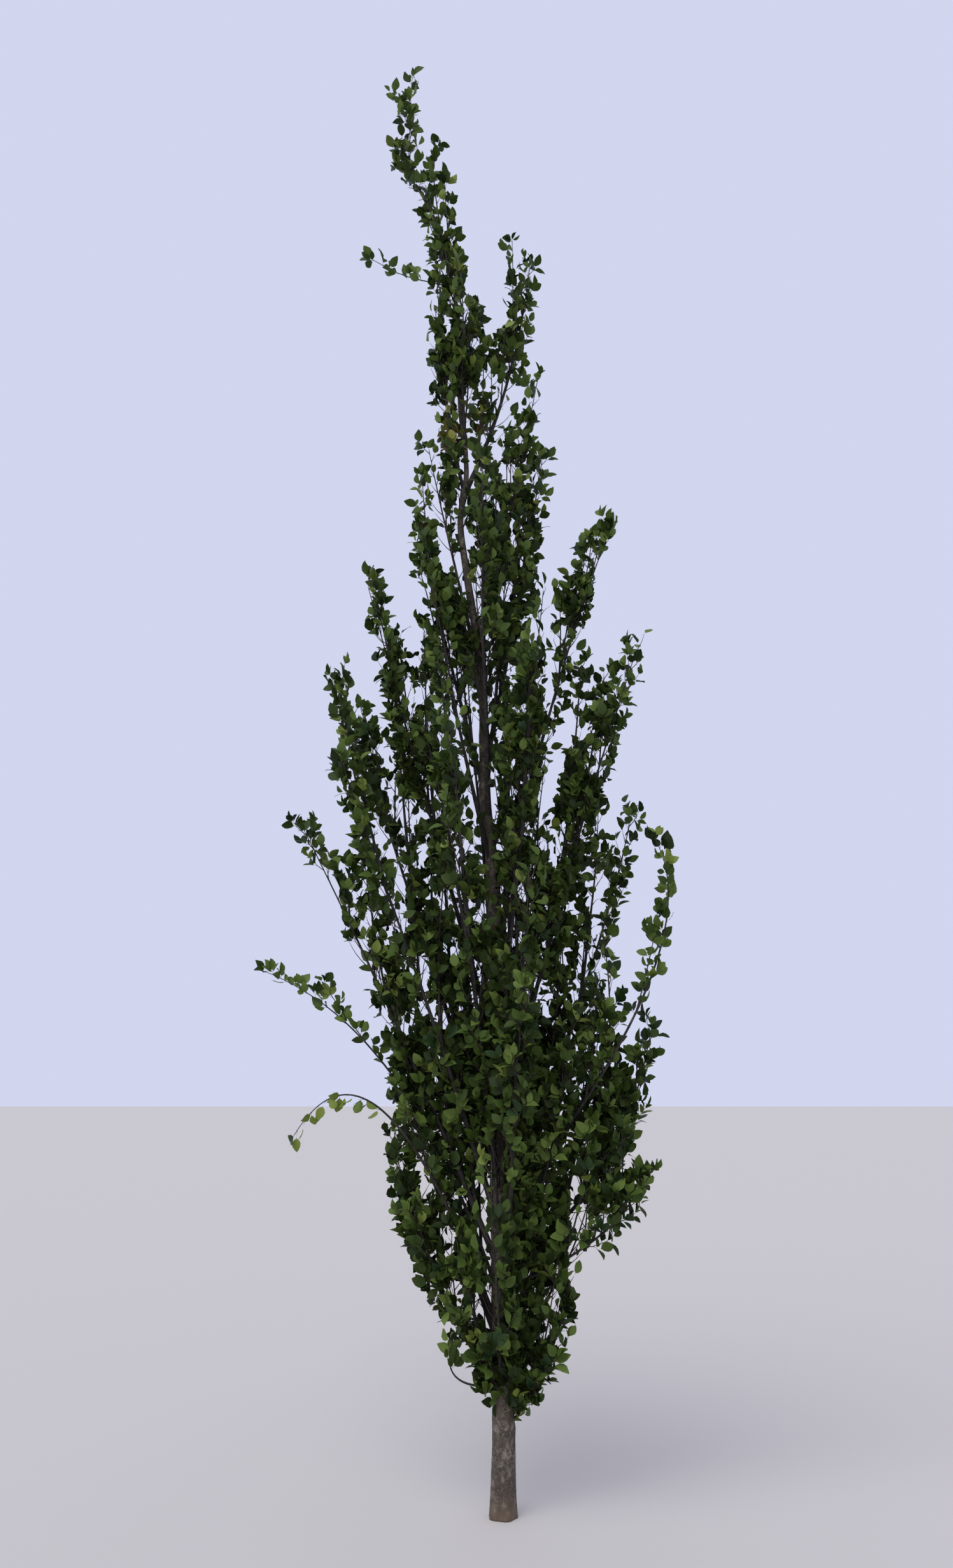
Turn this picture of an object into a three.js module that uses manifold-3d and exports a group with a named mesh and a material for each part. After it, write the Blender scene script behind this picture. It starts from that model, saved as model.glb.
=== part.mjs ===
// Columnar beech: a young, narrow beech tree rooted in the ground, about 6.5 m tall.
// Millimetres, +Z up. The origin is the centre of the trunk's flat cut at ground level. In the tree's
// front view +X is to the right and +Y is away from the viewer.
//
// One whole trunk runs from the root flare to the leader. Each limb is one curve from the trunk to the
// tip of a shoot: its first stretch is a bare bough, and the rest is the stem of a mass of foliage.
// Every mass grows twigs and leaves from its stem by one seeded rule, inside its own share of the crown.
import * as THREE from "three";
import { ConvexGeometry } from "three/addons/geometries/ConvexGeometry.js";
import { mergeVertices } from "three/addons/utils/BufferGeometryUtils.js";
import Module from "manifold-3d";

const wasm = await Module();
wasm.setup();
const { Manifold, Mesh } = wasm;

// Clearances between solids.
const GAP = 0.3; // where a limb meets the trunk, or a stem its bough
const CLEAR = 1; // least distance from leaves and twigs to limbs and to other masses
const SPACE_MARGIN = 3; // how much nearer its own stem than any other stem a leaf must be
const SPACE_REACH = 1.8; // how far from its stem, for each millimetre that the foliage stands out

// The trunk: height, sideways lean, lean away from the viewer, and radius.
const TRUNK_STATIONS = [
  [0, 0, 0, 47],
  [140, 2, 0, 45],
  [320, 4, 0, 42.5],
  [700, -3, 2, 36],
  [1300, -8, 8, 31],
  [2350, -24, -8, 27],
  [2750, -60, -10, 23],
  [3300, -75, 6, 19],
  [3830, -147, 12, 16],
  [4060, -172, 6, 14],
  [4300, -145, -4, 11.5],
  [4640, -176, -8, 9.5],
  [5100, -184, 4, 8],
  [5590, -280, 8, 6.5],
  [5790, -362, 2, 5.5],
  [5900, -428, -6, 5],
];
const TRUNK_SIDES = 12;
const TRUNK_STEPS = 32;
const FLARE_HEIGHT = 110;
const FLARE = 7; // how far the root flare stands out at the ground
const FLARE_LOBES = 5;

// Limb thickness: radius where it leaves the trunk per millimetre of limb, and its bounds.
const THICKNESS_PER_LENGTH = 0.0088;
const LIMB_RADIUS_LEAST = 5.5;
const LIMB_RADIUS_MOST = 13;
const TIP_RADIUS = 4;
const LIMB_TAPER = 0.75;
const COLLAR = 0.45; // how much a bough swells where it leaves the trunk
const COLLAR_LENGTH = 0.035;
const BOUGH_SIDES = 6;
const BOUGH_STEPS = 5;
const STEM_SIDES = 3;
const WANDER = 9; // how far a limb wanders sideways
const WANDERS = 1.4; // how many times it wanders along its length

// Foliage.
const TWIG_SIDES = 3;
const TWIG_RADIUS = 3.2;
const TWIG_TIP_RADIUS = 2.8;
const TWIG_SPACING = 92; // along the slimmest shoot
const TWIG_SPACING_PER_PLUME = 0.9; // and more, for each millimetre that the foliage stands out
const TWIG_LENGTH = 1.2; // for each millimetre that the foliage stands out
const TWIG_VIGOUR = [0.9, 1.15]; // the least and most of its length that a twig may grow
const TWIG_SPLAY = 50; // degrees between a twig and its stem
const LEAVES_PER_TWIG = 3;
const FIRST_LEAF = 0.35; // where the first leaf stands along its twig
const LEAF_LENGTH_MOST = 290; // each leaf stands for a spray
const LEAF_LENGTH_LEAST = 100;
const LEAF_LENGTH_PER_PLUME = 1.9;
const LEAF_VIGOUR = [1.1, 0.85];
const LEAF_WIDTH = 0.74; // of its length
const LEAF_CUP = 0.035; // how deep the blade is, of its length
const LEAF_SPLAY = 55; // degrees between a leaf and its twig
const LEAF_ROLL = 20; // degrees that a leaf may be rolled about its own length, each way
const LEAF_TRIES = 9;
const LEAF_SHORTENED = 0.88; // at each further try
const TIP_LEAF = 0.9; // a shoot's own end leaf, of its twigs' leaves
const END_LEAF_SUNK = 1.6; // how far a leaf's root is sunk in, in radii of its twig
const SIDE_LEAF_SUNK = 0.3;
const GOLDEN_ANGLE = 137.5;
const SPACE_POINTS = 8; // links of the line that a stem is taken for where spaces are shared out

// The bends of limbs: where the knee of a limb's curve stands, as shares of its reach and its rise.
const NARROW = { out: 0.75, up: 0.4 };
const STEEP = { out: 0.5, up: 0.42 };

// Name, height on the trunk, compass angle from +X towards +Y, reach of the tip, height of the tip,
// radius of the foliage round the limb, share of the limb that is bare, and the bend.
// The bare share of these limbs is a bough, a solid of its own.
const BOUGHED_LIMBS = [
  ["left_low", 620, 192, 830, 1360, 75, 0.5, { out: 0.62, up: 1.75 }],
  ["left_stray", 740, 171, 1035, 2040, 85, 0.5, { out: 0.36, up: 0.82 }],
  ["left_arch", 850, 183, 850, 2655, 125, 0.36, { out: 0.46, up: 0.52 }],
  ["left_mid", 1010, 206, 735, 2885, 145, 0.36, { out: 0.46, up: 0.5 }],
  ["left_broad", 1170, 170, 745, 3380, 145, 0.36, { out: 0.46, up: 0.5 }],
  ["left_high", 1680, 182, 590, 3790, 140, 0.36, { out: 0.48, up: 0.46 }],
  ["right_low", 790, 348, 620, 1260, 95, 0.34, { out: 0.85, up: 0.4 }],
  ["right_lift", 900, 14, 680, 1870, 115, 0.34, { out: 0.8, up: 0.2 }],
  ["right_stray", 1060, 352, 645, 2590, 90, 0.4, { out: 1.25, up: 0.7 }],
  ["right_mid", 1190, 22, 670, 2810, 145, 0.36, { out: 0.62, up: 0.38 }],
  ["right_broad", 1350, 345, 640, 3440, 145, 0.36, { out: 0.38, up: 0.46 }],
  ["right_high", 2060, 358, 575, 4080, 130, 0.36, { out: 0.46, up: 0.46 }],
  ["front_low", 640, 282, 500, 2400, 140, 0.36, { out: 0.5, up: 0.45 }],
  ["front_mid", 1100, 246, 520, 3050, 140, 0.36, { out: 0.5, up: 0.45 }],
  ["back_low", 700, 98, 510, 2500, 145, 0.36, { out: 0.5, up: 0.45 }],
  ["back_mid", 1240, 64, 550, 3150, 145, 0.36, { out: 0.5, up: 0.45 }],
];
// These limbs are slighter: they are the stems of their foliage all the way from the trunk.
const SLIGHT_LIMBS = [
  ["skirt_left", 480, 178, 440, 1450, 100, 0.2, { out: 0.85, up: 0.35 }],
  ["skirt_right_1", 290, 352, 270, 900, 80, 0.3, { out: 0.8, up: 0.35 }],
  ["skirt_right_2", 540, 12, 400, 1250, 100, 0.2, NARROW],
  ["skirt_front", 400, 262, 330, 1350, 115, 0.1, NARROW],
  ["skirt_corner", 430, 218, 230, 1050, 95, 0.2, NARROW],
  ["skirt_back", 470, 84, 340, 1420, 115, 0.1, NARROW],
  ["left_body", 560, 158, 600, 2140, 120, 0.35, { out: 0.5, up: 0.45 }],
  ["inner_front", 770, 330, 340, 1880, 110, 0.1, NARROW],
  ["inner_back", 870, 32, 290, 2050, 110, 0.1, NARROW],
  ["front_high", 1720, 294, 470, 3600, 140, 0.4, STEEP],
  ["back_high", 1880, 108, 470, 3750, 145, 0.4, STEEP],
  ["upper_left_1", 2420, 214, 340, 3760, 120, 0.3, STEEP],
  ["upper_left_2", 2780, 176, 310, 4090, 120, 0.3, STEEP],
  ["upper_left_3", 3340, 190, 255, 4460, 115, 0.2, STEEP],
  ["upper_right_1", 2880, 20, 300, 4470, 120, 0.3, STEEP],
  ["upper_right_2", 3440, 350, 290, 4800, 115, 0.2, STEEP],
  ["upper_right_3", 4180, 8, 330, 5510, 112, 0.15, { out: 0.8, up: 0.45 }],
  ["upper_front", 2620, 264, 320, 4260, 125, 0.3, STEEP],
  ["upper_back", 3020, 88, 290, 4520, 125, 0.3, STEEP],
  ["side_shoot", 5290, 184, 440, 5440, 60, 0.2, { out: 0.5, up: 0.1 }],
  ["top_left", 4200, 200, 150, 5200, 105, 0.1, NARROW],
  ["top_front", 4400, 262, 130, 5330, 105, 0.1, NARROW],
  ["top_back", 4620, 45, 90, 5240, 100, 0.1, NARROW],
  ["tip_front", 5120, 205, 200, 5850, 90, 0.1, { out: 0.3, up: 0.5 }],
  ["tip_back", 5430, 150, 60, 6120, 85, 0.1, NARROW],
  ["tip_right", 5300, 300, 40, 5980, 85, 0.1, NARROW],
];
const LEADER = { height: 6543, lean: 10, plume: 95 };

// A seeded number from 0 to 1.
function chance(seed) {
  const wild = Math.sin(seed * 12.9898) * 43758.5453;
  return wild - Math.floor(wild);
}

const lerp = (a, b, share) => a + (b - a) * share;
const radians = THREE.MathUtils.degToRad;
const UP = new THREE.Vector3(0, 0, 1);

// The trunk's centre and radius at a height, on smooth curves through its stations.
const TRUNK_TOP = TRUNK_STATIONS.at(-1)[0];
function trunkAt(height) {
  const last = TRUNK_STATIONS.length - 1;
  const next = TRUNK_STATIONS.findIndex((station) => station[0] > height);
  const i = next < 0 ? last - 1 : next - 1;
  const before = TRUNK_STATIONS[Math.max(i - 1, 0)];
  const start = TRUNK_STATIONS[i];
  const end = TRUNK_STATIONS[i + 1];
  const after = TRUNK_STATIONS[Math.min(i + 2, last)];
  const span = end[0] - start[0];
  const s = (height - start[0]) / span;
  const smooth = (k) => {
    const slopeIn = ((end[k] - before[k]) / (end[0] - before[0])) * span;
    const slopeOut = ((after[k] - start[k]) / (after[0] - start[0])) * span;
    return (
      (2 * s ** 3 - 3 * s ** 2 + 1) * start[k] +
      (s ** 3 - 2 * s ** 2 + s) * slopeIn +
      (3 * s ** 2 - 2 * s ** 3) * end[k] +
      (s ** 3 - s ** 2) * slopeOut
    );
  };
  return { centre: new THREE.Vector3(smooth(1), smooth(2), height), radius: smooth(3) };
}

const leafLengthIn = (plume) =>
  THREE.MathUtils.clamp(plume * LEAF_LENGTH_PER_PLUME, LEAF_LENGTH_LEAST, LEAF_LENGTH_MOST);

// A shoot's stem ends this far along its curve, so that its end leaf reaches the curve's end.
const stemEnd = (curve, plume) => 1 - (leafLengthIn(plume) * TIP_LEAF) / curve.getLength();

// A limb follows a curve from the trunk's centre towards the tip of its shoot.
function makeLimb([name, start, compass, reach, top, plume, bare, bend], hasBough) {
  const angle = radians(compass);
  const outward = new THREE.Vector3(Math.cos(angle), Math.sin(angle), 0);
  const sideways = new THREE.Vector3(-Math.sin(angle), Math.cos(angle), 0);
  const foot = trunkAt(start).centre;
  const knee = foot.clone().addScaledVector(outward, reach * bend.out);
  knee.z += (top - start) * bend.up;
  const tip = foot.clone().addScaledVector(outward, reach);
  tip.z = top;
  const curve = new THREE.QuadraticBezierCurve3(foot, knee, tip);
  const end = stemEnd(curve, plume);
  const length = curve.getLength() * end;
  const wander = (t) => WANDER * Math.sin(t * WANDERS * 2 * Math.PI + start) * t * (1.5 - t);
  return {
    name,
    at: (t) => curve.getPoint(t * end).addScaledVector(sideways, wander(t)),
    radius: limbRadius(length),
    outward,
    sideways,
    length,
    plume,
    bare,
    hasBough,
    stemStart: hasBough ? bare : 0,
  };
}

function limbRadius(length) {
  const thick = THREE.MathUtils.clamp(
    length * THICKNESS_PER_LENGTH,
    LIMB_RADIUS_LEAST,
    LIMB_RADIUS_MOST,
  );
  return (t) => {
    const collar = 1 + COLLAR * Math.exp(-t / COLLAR_LENGTH);
    return TIP_RADIUS + (thick - TIP_RADIUS) * (1 - t) ** LIMB_TAPER * collar;
  };
}

// The leader carries on from the trunk's tip to the top of the tree.
function makeLeader() {
  const { centre: foot, radius } = trunkAt(TRUNK_TOP);
  const rise = LEADER.height - TRUNK_TOP;
  const knee = foot.clone().addScaledVector(UP, rise * 0.5);
  const tip = new THREE.Vector3(foot.x + LEADER.lean, foot.y, LEADER.height);
  const curve = new THREE.QuadraticBezierCurve3(foot, knee, tip);
  const end = stemEnd(curve, LEADER.plume);
  return {
    name: "leader",
    at: (t) => curve.getPoint(t * end),
    radius: (t) => lerp(radius, TIP_RADIUS, t),
    outward: new THREE.Vector3(1, 0, 0),
    sideways: new THREE.Vector3(0, 1, 0),
    length: curve.getLength() * end,
    plume: LEADER.plume,
    bare: 0,
    hasBough: false,
    stemStart: 0,
    onTip: true,
  };
}

const TANGENT_STEP = 0.002;
function tangentOf(at, t) {
  return at(Math.min(t + TANGENT_STEP, 1)).sub(at(Math.max(t - TANGENT_STEP, 0))).normalize();
}

// How far along a curve a small distance is, as a share of the curve's range.
function stepOf(at, t, distance) {
  const ahead = at(t + TANGENT_STEP);
  return (distance * TANGENT_STEP) / ahead.distanceTo(at(t));
}

// The direction that lies across a path, kept as near as can be to the one given.
function squareTo(along, across) {
  return across.clone().addScaledVector(along, -across.dot(along)).normalize();
}

// A closed tube round a path: a cylinder whose rings are moved onto the path.
function tube({ at, across, radius, from = 0, to = 1, sides, steps, heading }) {
  const geometry = new THREE.CylinderGeometry(1, 1, 1, sides, steps);
  const position = geometry.getAttribute("position");
  const point = new THREE.Vector3();
  for (let i = 0; i < position.count; i++) {
    point.fromBufferAttribute(position, i);
    const t = lerp(from, to, point.y + 0.5);
    const along = heading ?? tangentOf(at, t);
    const side = squareTo(along, across);
    const face = side.clone().cross(along);
    const angle = Math.atan2(point.z, point.x);
    const reach = Math.hypot(point.x, point.z) * radius(t, angle);
    const moved = at(t)
      .addScaledVector(side, Math.cos(angle) * reach)
      .addScaledVector(face, Math.sin(angle) * reach);
    position.setXYZ(i, ...moved);
  }
  return geometry;
}

function solidOf(geometry) {
  geometry.deleteAttribute("normal");
  geometry.deleteAttribute("uv");
  const merged = mergeVertices(geometry, 1e-4);
  return new Manifold(
    new Mesh({
      numProp: 3,
      vertProperties: merged.getAttribute("position").array,
      triVerts: new Uint32Array(merged.index.array),
    }),
  );
}

function geometryOf(solid) {
  const { vertProperties, triVerts } = solid.getMesh();
  const geometry = new THREE.BufferGeometry();
  geometry.setAttribute("position", new THREE.BufferAttribute(vertProperties, 3));
  geometry.setIndex(new THREE.BufferAttribute(triVerts, 1));
  return geometry;
}

// The trunk, with extra added to its radius all over. Its rings are level, so it is cut flat at the
// ground, and the root flare stands out in lobes there.
function trunkSolid(extra) {
  return solidOf(
    tube({
      at: (t) => trunkAt(t * TRUNK_TOP).centre,
      across: new THREE.Vector3(1, 0, 0),
      radius: (t, angle) => {
        const flare = FLARE * Math.exp((-t * TRUNK_TOP) / FLARE_HEIGHT);
        const lobes = 1 + 0.5 * Math.cos(FLARE_LOBES * angle);
        return trunkAt(t * TRUNK_TOP).radius + flare * lobes + extra;
      },
      sides: TRUNK_SIDES,
      steps: TRUNK_STEPS,
      heading: UP,
    }),
  );
}

// A limb's root cut off at the trunk, without the scraps that may be left behind the trunk.
function cutAtTrunk(solid, trunkWithGap) {
  const bodies = solid.subtract(trunkWithGap).decompose();
  return bodies.reduce((most, body) => (body.volume() > most.volume() ? body : most));
}

function boughSolid(limb, trunkWithGap) {
  const bough = solidOf(
    tube({
      at: limb.at,
      across: limb.sideways,
      radius: limb.radius,
      to: limb.bare,
      sides: BOUGH_SIDES,
      steps: BOUGH_STEPS,
    }),
  );
  return cutAtTrunk(bough, trunkWithGap);
}

// The stem carries its limb on from the bough's end, or starts on the trunk. It is straight from ring to
// ring, and a twig stands halfway along each of its links that is past the bare stretch.
function makeStem(limb, trunkWithGap) {
  const onTrunk = !limb.hasBough && !limb.onTip;
  const from = limb.stemStart + (onTrunk ? 0 : stepOf(limb.at, limb.stemStart, GAP));
  const spacing = TWIG_SPACING + limb.plume * TWIG_SPACING_PER_PLUME;
  const steps = Math.max(3, Math.round((limb.length * (1 - from)) / spacing));
  const solid = solidOf(
    tube({
      at: limb.at,
      across: limb.sideways,
      radius: limb.radius,
      from,
      sides: STEM_SIDES,
      steps,
    }),
  );
  const links = [];
  for (let k = 0; k < steps; k++) {
    const [t0, t1] = [lerp(from, 1, k / steps), lerp(from, 1, (k + 1) / steps)];
    const [foot, head] = [limb.at(t0), limb.at(t1)];
    const along = head.clone().sub(foot).normalize();
    links.push({ t: (t0 + t1) / 2, middle: foot.lerp(head, 0.5), along });
  }
  return {
    solid: onTrunk ? cutAtTrunk(solid, trunkWithGap) : solid,
    links: links.filter(({ t }) => t > limb.bare),
  };
}

// One leaf, its root at the origin and its tip one unit along Y: six corners, eight faces.
const LEAF_CORNERS = [
  [0, 0, 0],
  [0, 1, 0],
  [-LEAF_WIDTH / 2, 0.38, LEAF_CUP],
  [LEAF_WIDTH / 2, 0.38, LEAF_CUP],
  [-LEAF_WIDTH * 0.36, 0.7, LEAF_CUP],
  [LEAF_WIDTH * 0.36, 0.7, LEAF_CUP],
].map((corner) => new THREE.Vector3(...corner));
const LEAF = solidOf(new ConvexGeometry(LEAF_CORNERS));

// A leaf's place: its root, the way it points, the way its blade faces, and its length.
function leafMatrix(root, points, facing, length) {
  const y = points.clone().normalize();
  const z = squareTo(y, facing);
  const x = y.clone().cross(z);
  return new THREE.Matrix4()
    .makeBasis(x.multiplyScalar(length), y.multiplyScalar(length), z.multiplyScalar(length))
    .setPosition(root);
}

// How wide the foliage stands round its stem, from the foot of the foliage at 0 to the tip at 1.
const plumeShape = (share) => Math.max(Math.sin(Math.PI * (0.24 + 0.68 * share)), 0.42);

// A straight twig from a link of the stem, turned about it.
function makeTwig(limb, { middle, along }, turn, length) {
  const out = squareTo(along, limb.sideways).applyAxisAngle(along, turn);
  const splay = radians(TWIG_SPLAY);
  const points = along
    .clone()
    .multiplyScalar(Math.cos(splay))
    .addScaledVector(out, Math.sin(splay));
  return {
    at: (u) => middle.clone().addScaledVector(points, length * u),
    points,
    across: along.clone().cross(out),
    spread: out,
  };
}

function twigSolid(twig) {
  const face = twig.across.clone().cross(twig.points);
  const corners = [];
  for (let i = 0; i < TWIG_SIDES; i++) {
    const angle = (i * 2 * Math.PI) / TWIG_SIDES;
    for (const [u, radius] of [[0, TWIG_RADIUS], [1, TWIG_TIP_RADIUS]]) {
      corners.push(
        twig
          .at(u)
          .addScaledVector(twig.across, Math.cos(angle) * radius)
          .addScaledVector(face, Math.sin(angle) * radius),
      );
    }
  }
  return solidOf(new ConvexGeometry(corners));
}

// The leaves of one twig stand alternately on its two sides, and the last one ends it.
function twigLeaves(twig, leafLength) {
  const leaves = [];
  for (let j = 0; j < LEAVES_PER_TWIG; j++) {
    const u = lerp(FIRST_LEAF, 1, j / (LEAVES_PER_TWIG - 1));
    const splay = j === LEAVES_PER_TWIG - 1 ? 0 : radians(LEAF_SPLAY) * (j % 2 ? 1 : -1);
    const points = twig.points
      .clone()
      .multiplyScalar(Math.cos(splay))
      .addScaledVector(twig.across, Math.sin(splay));
    const sunk = (splay === 0 ? END_LEAF_SUNK : SIDE_LEAF_SUNK) * TWIG_TIP_RADIUS;
    const root = twig.at(u).addScaledVector(points, -sunk);
    leaves.push({ root, points, facing: twig.spread, length: leafLength });
  }
  return leaves;
}

// A shoot ends in one leaf.
function tipLeaf(limb, leafLength) {
  const points = tangentOf(limb.at, 1);
  const root = limb.at(1).addScaledVector(points, -END_LEAF_SUNK * TIP_RADIUS);
  return { root, points, facing: limb.outward, length: leafLength * TIP_LEAF };
}

// The distance from a point to a limb's stem, which is followed from one of a few points to the next.
function stemDistance(point, limb) {
  const segment = new THREE.Line3();
  const nearest = new THREE.Vector3();
  let least = Infinity;
  for (let i = 0; i < SPACE_POINTS; i++) {
    segment.set(limb.stemPoints[i], limb.stemPoints[i + 1]);
    segment.closestPointToPoint(point, true, nearest);
    least = Math.min(least, nearest.distanceTo(point));
  }
  return least;
}

// A mass keeps to its space: the part of the crown that is nearer its own stem than any other, and
// not too far from that.
function inSpace(points, limb, limbs) {
  return points.every((point) => {
    const own = stemDistance(point, limb);
    if (own > limb.plume * SPACE_REACH) return false;
    return limbs.every((other) => other === limb || stemDistance(point, other) > own + SPACE_MARGIN);
  });
}

const isClear = (solid, others) => others.every((other) => solid.minGap(other, CLEAR) >= CLEAR);

// One mass of foliage: its stem, and each twig and leaf that stays in its space, clear of the limbs,
// the other masses and the other leaves. A leaf that doesn't is rolled and shortened before it is
// left out.
function foliageSolid(limb, limbs, trunkWithGap, others) {
  const number = limbs.indexOf(limb);
  const leafLength = leafLengthIn(limb.plume);
  const { solid: stem, links } = makeStem(limb, trunkWithGap);
  const twigs = [];
  const leaves = [];
  const growLeaf = (leaf, seed, carrier) => {
    const grown = [stem, ...twigs, ...leaves].filter((solid) => solid !== carrier);
    const vigour = lerp(...LEAF_VIGOUR, chance(seed + 0.5));
    for (let attempt = 0; attempt < LEAF_TRIES; attempt++) {
      const roll = radians(LEAF_ROLL) * (2 * chance(seed + attempt * 1.7) - 1);
      const facing = leaf.facing.clone().applyAxisAngle(leaf.points, roll);
      const length = leaf.length * vigour * LEAF_SHORTENED ** attempt;
      const matrix = leafMatrix(leaf.root, leaf.points, facing, length);
      const corners = LEAF_CORNERS.slice(1).map((corner) => corner.clone().applyMatrix4(matrix));
      if (!inSpace(corners, limb, limbs)) continue;
      const solid = LEAF.transform(matrix.elements);
      if (!isClear(solid, [...others, ...grown])) continue;
      leaves.push(solid);
      return;
    }
  };
  links.forEach((link, k) => {
    const seed = number * 31 + k * 5.3;
    const shape = plumeShape((link.t - limb.bare) / (1 - limb.bare));
    const length = limb.plume * TWIG_LENGTH * shape * lerp(...TWIG_VIGOUR, chance(seed));
    const twig = makeTwig(limb, link, radians(k * GOLDEN_ANGLE + number * 77), length);
    const solid = twigSolid(twig);
    if (!inSpace([twig.at(0.5), twig.at(1)], limb, limbs)) return;
    if (!isClear(solid, [...others, ...twigs, ...leaves])) return;
    twigs.push(solid);
    twigLeaves(twig, leafLength).forEach((leaf, j) => growLeaf(leaf, seed + j * 3.1, solid));
  });
  growLeaf(tipLeaf(limb, leafLength), number * 17, stem);
  return Manifold.union([stem, ...twigs, ...leaves]);
}

const BARK = new THREE.MeshStandardMaterial({ color: 0x6b625a, roughness: 0.85, metalness: 0 });
const BOUGH_BARK = new THREE.MeshStandardMaterial({ color: 0x4a4038, roughness: 0.8, metalness: 0 });
const LEAF_GREEN = new THREE.MeshStandardMaterial({ color: 0x2f4a1c, roughness: 0.55, metalness: 0 });

const tree = new THREE.Group();
const solids = [];
function addPiece(name, solid, material) {
  const mesh = new THREE.Mesh(geometryOf(solid), material);
  mesh.name = name;
  tree.add(mesh);
  solids.push(solid);
}

const limbs = [
  ...BOUGHED_LIMBS.map((row) => makeLimb(row, true)),
  ...SLIGHT_LIMBS.map((row) => makeLimb(row, false)),
  makeLeader(),
];
for (const limb of limbs) {
  limb.stemPoints = [];
  for (let i = 0; i <= SPACE_POINTS; i++) {
    limb.stemPoints.push(limb.at(lerp(limb.stemStart, 1, i / SPACE_POINTS)));
  }
}
const trunkWithGap = trunkSolid(GAP);

addPiece("trunk", trunkSolid(0), BARK);
for (const limb of limbs) {
  if (limb.hasBough) addPiece("bough_" + limb.name, boughSolid(limb, trunkWithGap), BOUGH_BARK);
}
for (const limb of limbs) {
  addPiece("foliage_" + limb.name, foliageSolid(limb, limbs, trunkWithGap, solids), LEAF_GREEN);
}

export default tree;
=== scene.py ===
"""Columnar beech: the looks of a young, narrow beech tree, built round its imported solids.

Metres, +Z up. The origin is the centre of the trunk's flat cut at ground level, +X is to the right in
the front view and +Y is away from the viewer. The limbs follow the curves of the solids within a few
centimetres, and grow on by the same kind of seeded rule to finer twigs, spurs and leaves of life size.
"""

import math
import random

import bpy
import numpy as np
from mathutils import Matrix, Vector, noise


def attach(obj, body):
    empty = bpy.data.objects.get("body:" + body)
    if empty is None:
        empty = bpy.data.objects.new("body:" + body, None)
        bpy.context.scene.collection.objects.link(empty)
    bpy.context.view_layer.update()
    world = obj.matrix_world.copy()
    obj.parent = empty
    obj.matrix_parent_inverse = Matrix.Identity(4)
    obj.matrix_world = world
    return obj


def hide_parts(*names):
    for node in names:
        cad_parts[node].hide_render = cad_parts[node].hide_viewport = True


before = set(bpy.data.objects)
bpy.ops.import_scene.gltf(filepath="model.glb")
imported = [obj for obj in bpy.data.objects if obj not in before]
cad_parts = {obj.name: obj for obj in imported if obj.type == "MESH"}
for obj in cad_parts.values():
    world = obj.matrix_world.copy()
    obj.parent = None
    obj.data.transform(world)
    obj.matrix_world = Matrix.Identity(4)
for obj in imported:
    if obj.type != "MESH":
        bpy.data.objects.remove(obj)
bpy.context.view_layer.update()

UP = Vector((0, 0, 1))

# Camera: a phone held upright at eye height, tilted up until the whole tree is in view.
EYE = (-0.0986, -4.923, 1.6)
CAMERA_TILT = math.radians(13.905)
LENS = 27.03
SENSOR = 36.0


def add_object(name, data):
    """A new object in the scene."""
    added = bpy.data.objects.new(name, data)
    bpy.context.scene.collection.objects.link(added)
    return added


def add_camera():
    data = bpy.data.cameras.new("camera")
    data.lens = LENS
    data.sensor_width = SENSOR
    camera = add_object("camera", data)
    camera.location = EYE
    camera.rotation_euler = (math.pi / 2 + CAMERA_TILT, 0, 0)
    bpy.context.scene.camera = camera


# The trunk: height, sideways lean, lean away from the viewer, and radius.
TRUNK_STATIONS = [
    (0.0, 0.0, 0.0, 0.047), (0.14, 0.002, 0.0, 0.045),
    (0.32, 0.004, 0.0, 0.0425), (0.7, -0.003, 0.002, 0.036),
    (1.3, -0.008, 0.008, 0.031), (2.35, -0.024, -0.008, 0.027),
    (2.75, -0.06, -0.01, 0.023), (3.3, -0.075, 0.006, 0.019),
    (3.83, -0.147, 0.012, 0.016), (4.06, -0.172, 0.006, 0.014),
    (4.3, -0.145, -0.004, 0.0115), (4.64, -0.176, -0.008, 0.0095),
    (5.1, -0.184, 0.004, 0.008), (5.59, -0.28, 0.008, 0.0065),
    (5.79, -0.362, 0.002, 0.0055), (5.9, -0.428, -0.006, 0.005),
]
TRUNK_TOP = TRUNK_STATIONS[-1][0]
FLARE_HEIGHT = 0.11
FLARE = 0.007
FLARE_LOBES = 5

# Limb thickness: radius where it leaves the trunk per metre of limb, and its bounds.
THICKNESS_PER_LENGTH = 0.0088
LIMB_RADIUS_LEAST = 0.0055
LIMB_RADIUS_MOST = 0.013
TIP_RADIUS = 0.0013
LIMB_TAPER = 1.15
COLLAR = 0.45
COLLAR_LENGTH = 0.035
WANDER = 0.009
WANDERS = 1.4

# The bends of limbs: where the knee of a limb's curve stands, as shares of its reach and its rise.
NARROW = (0.75, 0.4)
STEEP = (0.5, 0.42)

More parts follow.
